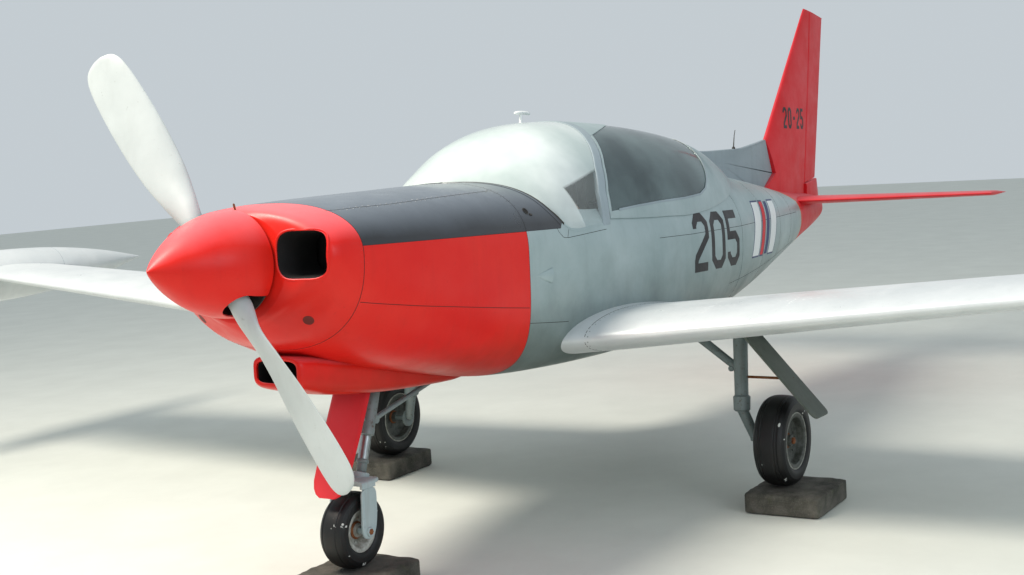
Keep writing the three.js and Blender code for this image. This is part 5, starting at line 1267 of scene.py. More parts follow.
forkParts = [lathePart(forkHead, onSteer(forkTop), steerAxis, 32), crown, yoke]
arm = [(ox + 60, -944), (ox - 34, -944), (ox - 35, axle + 95), (ox - 40, axle + 6), (ox - 24, axle - 30),
       (ox + 24, axle - 32), (ox + 50, axle), (ox + 62, axle + 70)]
arm = roundCorners(arm, [34, 30, 30, 30, 24, 24, 30, 40], 6)
boss = [(0.5, 0), (19, 0), (20, 1), (20, 8), (18, 10), (9, 10), (9, 6), (0.5, 6)]
for side in (1, -1):
    place = lambda line, d: stack(line[:, 0], side * (forkOuter - plate + d), line[:, 1])
    forkParts.append(platePart(arm, plate, 3, place))
    forkParts.append(lathePart(boss, (ox, side * (forkOuter - 1), axle), (0, side, 0), 6))
forkParts.append(barPart((ox, -forkOuter - 6, axle), (ox, forkOuter + 6, axle), 14, ease=1.5))
makePiece("nose_fork_casting", forkParts, forkPaint, "nose_fork", body="nose_fork", sharp=40)
nut = [(0.5, 0), (13, 0), (13, 5), (9, 8), (0.5, 8)]
nuts = [lathePart(nut, (ox, side * (forkOuter + 7), axle), (0, side, 0), 6) for side in (1, -1)]
makePiece("nose_axle_nuts", nuts, rust, body="nose_fork")

door = {"top": (1096, -505), "low": (886, -945), "depth": 7}
drops = [480, 700, 900, 930, 950, 960]
h = concatenate([linspace(-484, -900, 30), linspace(-906, -960, 16)])[:, None]
share = linspace(0, 1, 30)
leftEdge, rightEdge = interp(-h, drops, [97, 97, 90, 80, 64, 44]), interp(-h, drops, [-96, -96, -88, -78, -62, -42])
y = rightEdge + (leftEdge - rightEdge) * share
slope = (door["top"][0] - door["low"][0]) / (door["top"][1] - door["low"][1])
s = door["top"][0] + slope * (h - door["top"][1]) + 0 * y
rim = np.minimum(np.minimum(share, 1 - share) * 14, 1)  # the rim of the panel is thinned
face = stack(s - door["depth"] / np.hypot(1, slope) * rim, y, h)
makePiece("nose_door_panel", shellPart(face, stack(s, y, h)), redTailPaint, "nose_door", sharp=40)
strut = [barPart(onSteer(-700) + [26, 0, 4], (1640, 0, -590), 11, ease=2, steps=16)]
strut.append(lathePart([(0.5, -16), (17, -16), (17, 16), (0.5, 16)], onSteer(-700) + [40, 0, 6], (0, 1, 0), 20))
makePiece("nose_drag_rod", strut, gearPaint, "nose_drag_strut", sharp=40)

# Main legs: a tapered tube with a forged knee, side brace, axle, door plate and its thin rusty rod
station, stub, axle, legSide = mainWheel["station"], mainWheel["side"] + 50, axleHeight(mainWheel), 976
knee = axle + 150
legParts = [
    barPart((2862, legSide - 10, -425), (2816, legSide + 5, knee + 30), 36, 33, 28),
    barPart((2819, legSide + 5, knee + 64), (2811, legSide + 7, knee - 14), 42, 40, 28, ease=8),
    barPart((2812, legSide + 8, knee - 2), (station, legSide + 58, axle), 27, 24, 22, ease=5),
    barPart((station, legSide + 34, axle), (station, stub, axle), 14, None, 20),
    lathePart([(0.5, 0), (46, 0), (46, 12), (30, 16), (0.5, 16)], (station, legSide + 60, axle), (0, 1, 0), 36),
    barPart((2850, legSide - 30, -662), (2850, 726, -500), 20, 22, 18, ease=5),
    barPart((2850, legSide + 4, -650), (2850, legSide - 52, -660), 24, 18, 18, ease=6),
    barPart((2828, legSide - 52, -668), (2874, legSide - 52, -668), 14, None, 16),
]
rodParts = [barPart((2840, legSide + 20, -706), (2790, 1256, -700), 6.5, None, 12, ease=1)]
rodParts.append(lathePart([(0.5, 0), (17, 0), (17, 8), (10, 12), (0.5, 12)], (station, stub, axle), (0, 1, 0), 6))
doorTop, doorLow = array([1003.5, -421.0]), array([1401.5, -867.0])
long = float(np.linalg.norm(doorLow - doorTop))
doorRun = (doorLow - doorTop) / long
doorNormal = doorRun[::-1] * [-1, 1]
outline = roundCorners([(2660, 2), (2850, 2), (2850, long - 1), (2660, long - 1)], [3, 3, 34, 44], 8)
placeDoor = lambda line, d: column_stack([line[:, 0], doorTop + doorRun * line[:, 1:] + doorNormal * (d - 5)])
makePair("main_leg_forging", legParts, gearPaint, "main_leg", sharp=40)
makePair("main_leg_rod", rodParts, rust)
makePair("main_door_panel", platePart(outline, 10, 2, placeDoor), doorPaint, "main_door", sharp=40)
print("undercarriage made")

# Roof aerial, whip aerial and the pin in the nose bowl
s, y, top = 2706, -128, 632
mast = tubePart([(s - 2, y, 566), (s, y, 590), (s + 3, y, 624), (s + 4, y, 634)], [9, 8, 7.5, 7], 18)
across = linspace(-1, 1, 14)
bar = stack(s + linspace(-55, 90, 14), y, top + 2 - 5 * across**2)
bar = tubePart(bar, 9 * np.sqrt(np.maximum(1 - across**8, 0.08)), 16, flat=1.6)
base = lathePart([(0.5, 0), (26, 0), (26, 3), (12, 8), (0.5, 8)], (s - 2, y, 571), (0.1, -0.2, 1), 28)
makePiece("roof_aerial_tee", [mast, bar, base], whitePaint, "roof_aerial", slot="aluminium_grey_paint")
whip = [(5168, 0, 440), (5170, 0, 470), (5186, 0, 540), (5204, 0, 575)]
whip = [tubePart(whip, [7, 4, 2.6, 2.2], 12, guide=(0, 1, 0))]
whip.append(lathePart([(0.5, 0), (11, 0), (11, 10), (6, 16), (0.5, 16)], (5168, 0, 450), (0, 0, 1), 20))
makePiece("whip_aerial", whip, sealRubber)
pin = lathePart([(0.5, 0), (4, 0), (4, 26), (2.5, 30), (0.5, 30)], (452, 0, 205), (-0.3, 0, 1), 14)
makePiece("bowl_pin", pin, rust, slot="aluminium_grey_paint")
print("aerials made")

# Sheet joints, fasteners and small fittings on the body
seams = {  # lines on the port side as station, side and height; both sides get them
    "cowl": [(628, 455, -160), (830, 465, -180), (1124, 480, -211), (1465, 490, -246), (1690, 495, -267)],
    "deck hinge": [(608, 295, 192), (656, 303, 193), (961, 328, 205), (1306, 324, 223), (1675, 321, 240)],
    "corner": [(1953, 494, 64), (1966, 500, 40), (1996, 505, 18), (2028, 506, 16), (2050, 500, 52)],
    "sill": [(2028, 506, 16), (2200, 507, 26), (2401, 505, 38)],
    "side": [(2944, 517, -32), (3348, 509, -32), (4113, 464, -22), (5684, 225, 11)],
    "low side": [(1702, 480, -330), (2020, 480, -350)],
    "rear low": [(3960, 430, -330), (4800, 300, -260), (5700, 150, -150)],
}
ringStations = {"red": (621, 1699), "silver": (4150, 4660, 5120, 5480)}
fastener = {"pitch": 34, "radius": 3.2, "height": 0.9, "offset": 13}
deckRear = array([
    (1842, 225, 271), (1880, 318, 243), (1913, 387, 210), (1960, 435, 168), (1996, 463, 133), (2018, 482, 98),
])

seamParts, redHeads, silverHeads, blackHeads = [], [], [], []
for name, line in seams.items():
    heads = {"cowl": redHeads, "deck hinge": blackHeads}.get(name, silverHeads)
    aside = array([0, 1, 0] if name == "deck hinge" else [0, 0, 1]) * fastener["offset"]
    for side in (1, -1):
        seamParts.append(ribbonPart(*laidOnBody(array(line, float) * [1, side, 1], 18), 2.6, 0.25))
        for shift in (-aside, aside) if name != "corner" else ():
            heads.append(np.stack(laidOnBody((array(line, float) + shift) * [1, side, 1], fastener["pitch"]), 1))
onRing = lambda s, turn: (bodyPoint(s, turn), outward(bodyPoint, s, turn))
for colour, stations in ringStations.items():
    for station in stations:
        seamParts.append(ribbonPart(*onRing(np.full(181, float(station)), linspace(0, 2 * pi, 181)), 2.6, 0.25))
        for s in (station - fastener["offset"], station + fastener["offset"]):
            turn = fullTurn(int((2900 if station < 4400 else 1700) / fastener["pitch"]))
            heads = np.stack(onRing(np.full(turn.shape, float(s)), turn), 1)
            if colour == "silver":
                silverHeads.append(heads[heads[:, 0, 2] < 200])
                continue
            high = heads[:, 0, 2] > deckEdge
            (redHeads if s < 1700 else silverHeads).append(heads[~high])
            if s > 640:
                blackHeads.append(heads[high])
blackHeads += [np.stack(laidOnBody(deckRear * [1, side, 1], 20), 1) for side in (1, -1)]
makePiece("sheet_seams", seamParts, seamShade, sharp=60)
silverHeads = concatenate(silverHeads)
for rear, front, low, high in ((3355, 4165, -255, 90), (4355, 5075, -235, 125)):  # none under the number or the bars
    s, h = silverHeads[:, 0, 0], silverHeads[:, 0, 2]
    silverHeads = silverHeads[~((s > rear) & (s < front) & (h > low) & (h < high))]
for name, heads, finish in (("cowl_fasteners", redHeads, redPaint), ("deck_fasteners", blackHeads, blackPaint),
                            ("skin_rivets", [silverHeads], silverPaint)):
    heads = domeParts(concatenate(heads), fastener["radius"], fastener["height"])
    makePiece(name, heads, finish, slot=None, merge=1e-7)

# rows of rivets over the wing spars and ribs, on both skins
lines = [(linspace(640, 3780, 92), np.full(92, share)) for share in (0.14, 0.34, 0.55)]
lines += [(np.full(30, float(y)), linspace(0.08, 0.66, 30)) for y in (*range(700, 3400, 380), 3720)]
heads = concatenate([np.stack([wingSurface(y, x, skin), wingNormal(y, x, skin)], 1)
                     for skin in (1, -1) for y, x in lines])
for word, side in sides.items():
    makePiece("wing_rivets_" + word, domeParts(heads * [1, side, 1], 2.6, 0.6), wingPaint, slot=None, merge=1e-7)

# the strip over the wing root joint, with its screws
x = concatenate([[0.002, 0.006, 0.015, 0.03], linspace(0.05, 0.9, 60)])
y, rootParts, rootHeads = np.full(len(x), 566.0), [], []
for side in (1, -1):
    for skin in (1, -1):
        normal = wingNormal(y, x, skin) * [1, side, 1]
        rootParts.append(ribbonPart(wingSurface(y, x, skin) * [1, side, 1], normal, 3, 0.3))
        rootHeads.append(np.stack([wingSurface(y + 14, x, skin) * [1, side, 1], normal], 1)[::2])
makePiece("wing_root_joint", rootParts, seamShade, sharp=60)
makePiece("wing_root_screws", domeParts(concatenate(rootHeads), 3.2, 0.8), silverPaint, slot=None, merge=1e-7)

# small fittings: latch hole, plug in the bowl, triangular vents, fuel and step details
fittings, holes, vents, plugs = [], [], [], []
vent = array([(1746, -135), (1877, -109), (1865, -174)], float)
rear, share = linspace(0, 1, 9), linspace(0, 1, 12)[:, None, None]
back = vent[1] * (1 - rear[:, None]) + vent[2] * rear[:, None]
grid = vent[0] * (1 - share) + back * share
rise = share**1.3 * 12 * sin(pi * (0.12 + 0.76 * rear))[:, None]
for side in (1, -1):
    (at, *_), (normal, *_) = laidOnBody([(1760, 452 * side, 146), (1762, 452 * side, 146)], 2)
    holes.append(lathePart([(0.5, -6), (13, -6), (13, 0.6), (0.5, 0.6)], at, normal, 24))
    fittings.append(ringPart([(13, -1), (17, -1), (17, 1.4), (15, 2.2), (13, 1.4)], at, normal, 28))
    fittings.append(ribbonPart(*laidOnBody([(1776, 455 * side, 128), (1790, 456 * side, 124)], 7), 9, 4))
    outer = sidePoint(grid[..., 0], grid[..., 1], side) + rise * [0, side, 0.12]
    vents.append(shellPart(outer, sidePoint(grid[..., 0], grid[..., 1], side, -1.5)))
    holes.append(strokePart(back + [4.0, 0], 7, lambda s, h, out: sidePoint(s, h, side, out), out=0.9))
    (at, *_), (normal, *_) = laidOnBody([(517, 265 * side, -203), (519, 265 * side, -203)], 2)
    plugs.append(lathePart([(0.5, -4), (21, -4), (21, 0.4), (19, 0.4), (17, 0.1), (0.5, 0.1)], at, normal, 28))
# skin openings: the dark discs over the latch holes and the dark strokes along the vents' rear mouths are painted shade
for name, parts, finish in (("bowl_plugs", plugs, plugPaint), ("skin_openings", holes, seamShade),
                            ("side_vents", vents, silverPaint), ("skin_fittings", fittings, darkSteel)):
    makePiece(name, parts, finish, sharp=60)

# Markings: plain octagonal digits, slanted bars and the painted edge of the tail colour
glyphs = {  # centre lines in a box one wide and one tall
    "0": [(0.28, 0), (0.72, 0), (1, 0.14), (1, 0.86), (0.72, 1), (0.28, 1), (0, 0.86), (0, 0.14), (0.28, 0)],
    "2": [(0, 0.78), (0, 0.86), (0.28, 1), (0.72, 1), (1, 0.86), (1, 0.62), (0.06, 0.2), (0, 0.12), (0, 0), (1, 0)],
    "5": [(1, 1), (0, 1), (0, 0.56), (0.72, 0.56), (1, 0.42), (1, 0.14), (0.72, 0), (0.28, 0), (0, 0.14), (0, 0.22)],
    "-": [(0.1, 0.5), (0.9, 0.5)],
}
sideNumber = {"text": "205", "start": 3372, "low": -240, "wide": 212, "tall": 315, "gap": 38, "stroke": 47}
finNumber = {"text": "20-25", "start": 6004, "low": 598, "wide": 70, "tall": 150, "gap": 18, "stroke": 23}
bars = [("white", 4375, 150), ("red", 4566, 70), ("blue", 4677, 70), ("white", 4788, 150)]  # colour, start, width
lean, barLow, barHigh, border = 110, -215, 105, 10


def numberParts(plan, surface, side):
    parts, stroke, pitch = [], plan["stroke"], plan["wide"] + plan["gap"]
    total = len(plan["text"]) * pitch - plan["gap"]
    for index, digit in enumerate(plan["text"]):
        line = array(glyphs[digit], float) * [plan["wide"] - stroke, plan["tall"] - stroke] + stroke / 2
        line = line + [index * pitch, plan["low"]]
        line[:, 0] = plan["start"] + (total - line[:, 0] if side < 0 else line[:, 0])
        parts.append(strokePart(line, stroke, lambda s, h, out: surface(s, h, side, out)))
    return parts


def finPoint(s, h, side=1, out=0.0):
    front, hinge, rear, thick = (interp(h, finRows[:, 0], column) for column in finRows.T[1:])
    x = np.clip((s - front) / (rear - front), 0, 1)
    return stack(s, side * (halfThickness(x, thick) * (rear - front) + out), h)


numbers, barParts = [], {"white": [], "red": [], "blue": []}
for side in (1, -1):
    numbers += numberParts(sideNumber, sidePoint, side) + numberParts(finNumber, finPoint, side)
    for colour, start, wide in bars:  # each bar lies on a wider blue one, its border
        for grow, out, pick in ((border, 0.5, "blue"), (0, 0.9, colour)):
            if grow and colour == "blue":
                continue
            low, high = barLow - grow, barHigh + grow
            corners = [(start - grow, low), (start + wide + grow, low), (start + wide + lean + grow, high),
                       (start + lean - grow, high)]
            barParts[pick].append(patchPart(corners, lambda s, h, out: sidePoint(s, h, side, out), out))
makePiece("painted_numbers", numbers, stencilPaint, sharp=60)
for colour, finish in (("white", whitePaint), ("red", redTailPaint), ("blue", bluePaint)):
    makePiece("painted_bars_" + colour, barParts[colour], finish, sharp=60)
turn = linspace(0, 2 * pi, 161)
s = interp(turn, linspace(0, 2 * pi, len(stop) + 1), np.append(stop, stop[0]))
edge = ribbonPart(bodyPoint(s, turn), outward(bodyPoint, s, turn), 8, 0.4)
makePiece("tail_colour_edge", edge, yellowPaint, sharp=60)
print("markings made")

# Concrete blocks: superellipses in plan and in height, their faces worn by a few slow waves
block = {"length": 0.42, "width": 0.37, "outward": 0.056}


def blockPart(x, y, tall, seed):
    turn, rise = fullTurn(150), linspace(-pi / 2, pi / 2, 60)
    plan, side = rayOf(cos(turn), sin(turn), 22), rayOf(cos(rise), sin(rise), 16)
    out, up = (side * cos(rise))[:, None], (side * sin(rise))[:, None]
    px, py = block["length"] / 2 * plan * cos(turn) * out, block["width"] / 2 * plan * sin(turn) * out
    pz = tall / 2 + tall / 2 * up + 0 * px
    wave = sin(47 * px + seed) * sin(39 * py + 2 * seed)
    wave = wave + 0.6 * sin(113 * px + 61 * py + seed) + 0.4 * sin(171 * pz * 3 + 90 * px)
    edgeNear = np.clip(out * 1.02, 0, 1) ** 30 * np.abs(up) ** 14
    shrink = 1 - (0.004 + 0.004 * wave) * out - 0.012 * edgeNear * (1 + wave)
    pz = np.where(pz > tall * 0.5, pz - 0.004 * edgeNear * (1.2 + wave), pz)
    return loftPart(np.stack([px * shrink + x, py * shrink + y, np.clip(pz, 0, tall)], -1))


for name, wheel, side, tall in (("nose", noseWheel, 0, 0.09965), ("left", mainWheel, 1, 0.1),
                                ("right", mainWheel, -1, 0.1)):
    x = (stance["middle"] - wheel["station"] * cos(tilt) - axleHeight(wheel) * sin(tilt)) / 1000
    part = blockPart(x, side * (wheel["side"] / 1000 + block["outward"]), tall, 1.3 + side)
    makePiece("block_" + name, part, concrete, "wheel_block_" + name, inFrame=True, sharp=60)
print("blocks made")

# Cabin furniture: two bucket seats and a rear bench with sewn cushions, panel, levers and sticks
seats = {  # of pan and back: two ends of the middle line and half the thickness
    "side": 222, "half": 158, "pan": [(2655, -285), (3000, -305), 46], "back": [(3048, -214), (3172, 296), 36],
    "voxel": 0.006, "pressure": 4.0, "cap": 0.010, "frames": 20, "channelDepth": 0.005, "channelWidth": 0.006,
}
bench = {"side": 0, "half": 268, "pan": [(3516, -276), (3862, -292), 44], "back": [(3918, -196), (4004, 128), 34]}


def cushionPart(plan, which):  # a rounded block: a ball scaled by a high power norm
    start, end = array(plan[which][:2], float)
    length = np.linalg.norm(end - start)
    along = (end - start) / length
    rise, turn = np.meshgrid(linspace(-pi / 2, pi / 2, 60), fullTurn(120), indexing="ij")
    ball = np.stack([cos(rise) * cos(turn), cos(rise) * sin(turn), sin(rise)], -1)
    ball = ball / (np.sum(np.abs(ball) ** 6, -1, keepdims=True) ** (1 / 6))
    a, b, c = np.moveaxis(ball * array([length / 2, plan["half"], plan[which][2]]), -1, 0)
    s, h = (start + end) / 2
    return loftPart(stack(s + a * along[0] - c * along[1], plan["side"] + b, h + a * along[1] + c * along[0])[1:-1])


def readPoints(mesh, what="co"):
    values = np.empty(len(mesh.vertices) * 3, np.float32)
    mesh.vertices.foreach_get(what, values)
    return values.reshape(-1, 3)


def swellCushions(obj, plan, channels):  # voxel remesh, cloth under pressure, capped movement, then the sewn channels
    remesh = obj.modifiers.new("even mesh", "REMESH")
    remesh.mode, remesh.voxel_size, remesh.use_smooth_shade = "VOXEL", seats["voxel"], True
    obj.data = evaluated(obj)
    obj.modifiers.clear()
    before = readPoints(obj.data)
    cloth = obj.modifiers.new("swelling", "CLOTH")
    settings = cloth.settings
    settings.use_pressure, settings.uniform_pressure_force, settings.quality = True, seats["pressure"], 5
    settings.effector_weights.gravity = 0
    cloth.collision_settings.use_collision = False
    cloth.point_cache.frame_start, cloth.point_cache.frame_end = 1, seats["frames"]
    for moment in range(1, seats["frames"] + 1):
        bpy.context.scene.frame_set(moment)
    swollen = evaluated(obj)
    move = readPoints(swollen) - before
    obj.modifiers.clear()
    bpy.context.scene.frame_set(1)
    bpy.data.meshes.remove(swollen)
    length = np.maximum(np.linalg.norm(move, axis=1, keepdims=True), 1e-9)
    move = move / length * seats["cap"] * np.tanh(length / seats["cap"])
    obj.data.vertices.foreach_set("co", (before + move).ravel())
    points, normals = readPoints(obj.data), readPoints(obj.data, "normal")
    dent = np.zeros(len(points))
    for share in channels:  # channels run fore and aft on the cushion
        middle = (plan["side"] + plan["half"] * share) / 1000
        dent += np.exp(-(((points[:, 1] - middle) / seats["channelWidth"]) ** 2))
    points = points - normals * dent[:, None] * seats["channelDepth"] * (1 - np.abs(normals[:, 1:2]))
    obj.data.vertices.foreach_set("co", points.ravel())
    obj.data.update()
    obj.data.polygons.foreach_set("use_smooth", np.ones(len(obj.data.polygons), bool))


leftCushions, benchCushions = (makePiece(name, [cushionPart(plan, k) for k in ("pan", "back")], seatCloth, body=None)
                               for name, plan in (("seat_cushions_left", seats), ("rear_bench_cushions", bench)))
swellCushions(leftCushions, seats, (-0.6, -0.2, 0.2, 0.6))
mirroredMesh = leftCushions.data.copy()
mirroredMesh.vertices.foreach_set("co", (readPoints(mirroredMesh) * array([1, -1, 1], np.float32)).ravel())
mirroredMesh.flip_normals()
mirroredMesh.update()
rightCushions = addObject("seat_cushions_right", mirroredMesh)
swellCushions(benchCushions, bench, (-0.66, -0.33, 0.0, 0.33, 0.66))
for obj, node in ((leftCushions, "seat_left"), (rightCushions, "seat_right"), (benchCushions, "rear_seat")):
    finishPiece(obj, seatCloth, node, "airframe", "own", 80)


# seat shells: side plates, a tray under the pan cushion, a back sheet with a rolled top rail, and floor rails
def sheetPart(line, low, high, wall=3.0, columns=8):  # a bent sheet, seen from the side as a line, from low to high
    s, h = denseLine(line, 30).T
    grid = np.stack([stack(s, y, h) for y in linspace(low, high, columns)], 1)
    run = unit(np.gradient(column_stack([s, h]), axis=0))
    return shellPart(grid, grid - stack(run[:, 1], 0, -run[:, 0])[:, None] * wall)


def sidePlate(outline, y):
    return platePart(outline, 3, 1, lambda line, d: stack(line[:, 0], y - 1.5 + d, line[:, 1]))


outline = [(2632, -420), (2640, -300), (2990, -330), (3070, -262), (3206, 330), (3232, 322), (3200, -100),
           (3160, -300), (3150, -420)]
outline = roundCorners(outline, [20, 30, 40, 60, 10, 10, 60, 60, 20], 6)
for word, side in sides.items():
    middle = side * seats["side"]
    low, high = middle - 171, middle + 171
    shell = [sidePlate(outline, middle + d) for d in (173, -173)]
    shell.append(sheetPart([(2640, -312), (2642, -336), (2660, -341), (3060, -362)], low, high))
    shell.append(sheetPart([(3088, -262), (3120, -120), (3168, 90), (3212, 300)], low, high))
    shell.append(barPart((3218, low - 3, 326), (3218, high + 3, 326), 12, ease=5))
    shell += [boxPart(2610, 3240, y - 12, y + 12, -429.4, -418) for y in (low + 20, high - 20)]
    makePiece("seat_shell_" + word, shell, seatPaint, sharp=40)
outline = [(3500, -420), (3505, -290), (3850, -325), (3930, -240), (4030, 150), (4052, 146), (4040, -420)]
outline = roundCorners(outline, [16, 30, 40, 50, 8, 8, 20], 6)
shell = [sidePlate(outline, y) for y in (-284, 284)]
shell.append(sheetPart([(3506, -300), (3508, -326), (3520, -331), (3900, -349)], -282, 282))
shell.append(sheetPart([(3958, -240), (4046, 144)], -282, 282))
shell.append(barPart((4042, -284, 152), (4042, 284, 152), 10, ease=5))
makePiece("rear_bench_shell", shell, seatPaint, sharp=40)


# harness: shoulder and lap straps dropped on the cushions from ahead and above, and a round buckle
def strapOn(cushion, path):
    laid = []
    for s, y, h in denseLine(path, 16):
        start, goal = (Vector(toFrame(array(point))) for point in ((s - 260.0, y, h + 150.0), (s, y, h)))
        found, spot, normal, face = cushion.ray_cast(start, (goal - start).normalized())
        laid.append(spot + normal * 0.003 if found else goal)
    laid = array(laid)
    for passing in range(3):
        laid[1:-1] = (laid[:-2] + laid[1:-1] * 2 + laid[2:]) / 4
    normal = unit(np.cross(np.gradient(laid, axis=0), [0, 1, 0]), 1e-9)
    return laid, normal * np.sign(normal[:, :1] + normal[:, 2:])


bpy.context.view_layer.update()
webs, buckles = [], []
shoulder = [(3222, 80, 341), (3190, 79, 322), (3172, 78, 292), (3110, 68, 40), (3060, 50, -180), (2990, 34, -298),
            (2930, 14, -300)]
lap = [(3060, 160, -262), (3010, 150, -290), (2965, 90, -300), (2930, 14, -300)]
buckle = [(0.0005, -0.003), (0.03, -0.003), (0.032, 0.003), (0.028, 0.009), (0.0005, 0.01)]
for side, cushion in ((1, leftCushions), (-1, rightCushions)):
    for strapSide in (1, -1):
        for line in (shoulder, lap):
            laid, normal = strapOn(cushion, [(s, side * seats["side"] + strapSide * y, h) for s, y, h in line])
            webs.append(ribbonPart(laid, normal, 0.044, 0.002, sink=0.0006))
    buckles.append(lathePart(buckle, laid[-1] - [0, strapSide * 0.014, 0], (0.1, 0, 1), 28))
makePiece("harness_straps", webs, webbing, inFrame=True, sharp=60)
makePiece("harness_buckles", buckles, buckleSteel, inFrame=True, sharp=40)
print("cushions made")

# Instrument panel: a board under a hood, dials with bezels, ticks and needles, and three engine levers
panel = {"face": 2092, "thick": 6, "low": -150, "half": 436, "dial": 37}


def hoodHeight(y, s):  # the deck's own crown, lowered along the hood
    drop = interp(s, [2000, 2056, 2130, 2150, 2165], [30, 34, 45, 54, 72])
    return crownHeight(np.full(np.shape(y), 2050.0), y) - drop


s = concatenate([linspace(2052, 2130, 8), [2142, 2150, 2158, 2163, 2165]])
s, y = np.meshgrid(s, linspace(-panel["half"], panel["half"], 60), indexing="ij")
hood = stack(s, y, hoodHeight(y, s))
hood = shellPart(hood, hood - [0, 0, 5])
edge = linspace(-panel["half"], panel["half"], 50)
crown = column_stack([edge, hoodHeight(edge, np.full(50, 2090.0)) - 6])[::-1]
board = concatenate([[(-452, panel["low"]), (452, panel["low"]), (466, 30)], crown, [(-466, 30)]])
face, r = panel["face"], panel["dial"]
board = platePart(board, panel["thick"], 1.5, lambda line, d: stack(face - panel["thick"] + d, *line.T))
makePiece("instrument_board", [board, hood], blackPlastic, "instrument_panel", sharp=40)
dialPlaces = [(y, h) for h in (128, 34) for y in (-360, -268, -176, 176, 268, 360)]
dialPlaces += [(y, h) for h in (150, 60, -30) for y in (-56, 56)]
bezels, faces, marks = [], [], []
for number, (y, h) in enumerate(dialPlaces):
    at = array([face, y, h])
    bezels.append(ringPart([(r, -1), (r + 5, -1), (r + 5, 5), (r + 2, 7), (r, 4)], at, (1, 0, 0), 32))
    faces.append(lathePart([(0.5, -1), (r + 1, -1), (r + 1, 0.8), (0.5, 0.8)], at, (1, 0, 0), 28))
    for tick in linspace(-0.8 * pi, 0.8 * pi, 9):
        way = array([0, sin(tick), cos(tick)])
        foot, end = (at + way * (r - inset) + [1.2, 0, 0] for inset in (9, 3))
        marks.append(barPart(foot, end, 0.9, steps=5, ease=0.3))
    needle = -2.2 + 1.1 * (number % 5)
    way = array([0, sin(needle), cos(needle)])
    marks.append(barPart(at - way * 7 + [2.2, 0, 0], at + way * (r - 11) + [2.2, 0, 0], 1.2, 0.5, steps=6, ease=0.3))
makePiece("dial_bezels", bezels, darkSteel, sharp=40)
makePiece("dial_faces", faces, blackAndPaintedShade, sharp=40)
makePiece("dial_marks", marks, whitePaint, sharp=60)
levers = [boxPart(face + 1, face + 26, -70, 70, -128, -84)]
knob = [(0.5, -13), (9, -11), (14, -4), (14, 4), (9, 11), (0.5, 13)]
for y, reach in ((-40, 92), (0, 110), (40, 80)):
    levers.append(barPart((face + 12, y, -104), (face + reach, y, -78), 4, steps=12, ease=1))
    levers.append(lathePart(knob, (face + reach, y, -78), (1, 0, 0.3), 20))
makePiece("engine_levers", levers, blackPlastic, sharp=40)

# Control sticks on one cross shaft, each with a rubber boot and a shaped grip
stickParts, bootParts = [barPart((2580, -250, -412), (2580, 250, -412), 16, ease=3)], []
boot = [(0.5, 0), (46, 0), (44, 8), (34, 14), (36, 20), (27, 26), (28, 32), (19, 40), (13, 48), (0.5, 48)]
for y in (-235, 235):
    stickParts.append(barPart((2580, y, -418), (2560, y, -150), 10, steps=20, ease=1))
    foot, top = array([2563.5, y, -196]), array([2552.0, y, -88])
    long = float(np.linalg.norm(top - foot))
    grip = [(0.5, 0), (14, 0), (16, 4), (15, 18), (17, 30), (15.5, 42), (17.5, 56), (16, 68), (18, 82), (20, 96),
            (17, long - 3), (12, long), (0.5, long)]
    bootParts += [lathePart(grip, foot, top - foot, 28), lathePart(boot, (2580, y, -428), (-0.07, 0, 1), 32)]
makePiece("control_stick_tubes", stickParts, seatPaint, "control_sticks", slot="matte_plastic_trim", sharp=40)
makePiece("control_stick_grips", bootParts, blackPlastic, sharp=50)

# Demister hoses: a perished brown hose up each side inside the windscreen
hoses = []
for side in (1, -1):
    line = [(2132, 418, 232), (2150, 428, 216), (2190, 438, 180), (2240, 444, 140), (2300, 448, 108), (2340, 450, 92)]
    line = denseLine(array(line) * [1.0, side, 1], 20)
    hoses.append(tubePart(line, np.full(len(line), 7.0), 16, guide=(0, 1, 0)))
makePiece("demister_hoses", hoses, hoseBrown, sharp=60)
print("cabin made")

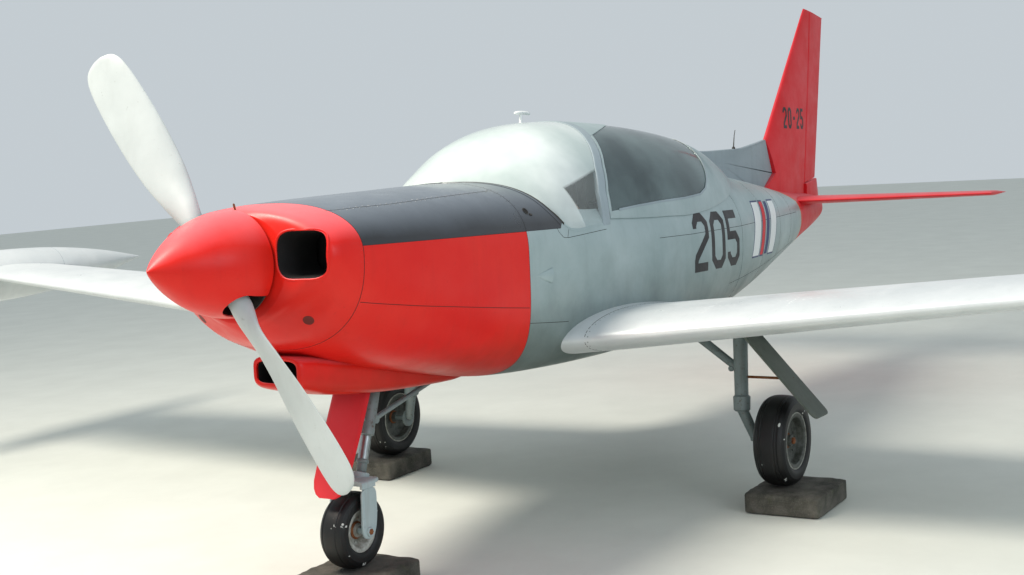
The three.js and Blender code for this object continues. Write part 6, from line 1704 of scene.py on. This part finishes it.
# Studio: a pale floor, soft daylight from all round and one large soft key from the front left
studio = {"floor": "#cfd2cb", "reach": 40.0, "sky": "#dfe8ee", "skyStrength": 0.75, "keyEnergy": 900,
          "fillEnergy": 160}
floorMesh, reach = bpy.data.meshes.new("studio_floor"), studio["reach"]
corners = [(-reach, -reach, 0), (reach, -reach, 0), (reach, reach, 0), (-reach, reach, 0)]
floorMesh.from_pydata(corners, [], [(0, 1, 2, 3)])
floorMesh.materials.append(plainMaterial("studio floor", studio["floor"], "#d6d9d2", 0.9, perMetre=2, bump=0.0001))
floor = addObject("studio_floor", floorMesh)
world = bpy.context.scene.world = bpy.data.worlds.new("studio")
world.use_nodes = True
sky = world.node_tree.nodes["Background"].inputs
sky["Color"].default_value, sky["Strength"].default_value = linear(studio["sky"]), studio["skyStrength"]


def addLight(name, place, target, size, energy, code):
    light = bpy.data.lights.new(name, "AREA")
    light.shape, light.size, light.energy, light.color = "DISK", size, energy, linear(code)[:3]
    obj = addObject(name, light)
    obj.location = place
    obj.rotation_euler = (Vector(target) - Vector(place)).to_track_quat("-Z", "Y").to_euler()


addLight("key_light", (5.5, -2.5, 7.5), (1.0, 0.5, 1.0), 3.0, studio["keyEnergy"], "#fff6e8")
addLight("fill_light", (4.0, 8.0, 4.0), (0.5, 0.5, 1.0), 4.0, studio["fillEnergy"], "#eef4ff")

# Camera at the photograph's viewing angle
camera = {"place": (6.80844, 3.54262, 1.74299), "yaw": -147.864186, "pitch": -5.464662, "roll": -3.562289,
          "lens": 48.24}
yaw, pitch, roll = (radians(camera[k]) for k in ("yaw", "pitch", "roll"))
ahead = array([cos(pitch) * cos(yaw), cos(pitch) * sin(yaw), sin(pitch)])
right = np.cross(ahead, [0, 0, 1])
right = right / np.linalg.norm(right)
up = np.cross(right, ahead)
right, up = cos(roll) * right + sin(roll) * up, -sin(roll) * right + cos(roll) * up
lens = bpy.data.cameras.new("photo_camera")
lens.lens, lens.sensor_width, lens.sensor_fit = camera["lens"], 36.0, "HORIZONTAL"
lens.clip_start, lens.clip_end = 0.05, 200
photoCamera = bpy.context.scene.camera = addObject("photo_camera", lens)
turnMatrix = Matrix((tuple(right), tuple(up), tuple(-ahead))).transposed().to_4x4()
photoCamera.matrix_world = Matrix.Translation(camera["place"]) @ turnMatrix
bpy.context.scene.view_settings.view_transform = "Standard"
print("studio made")
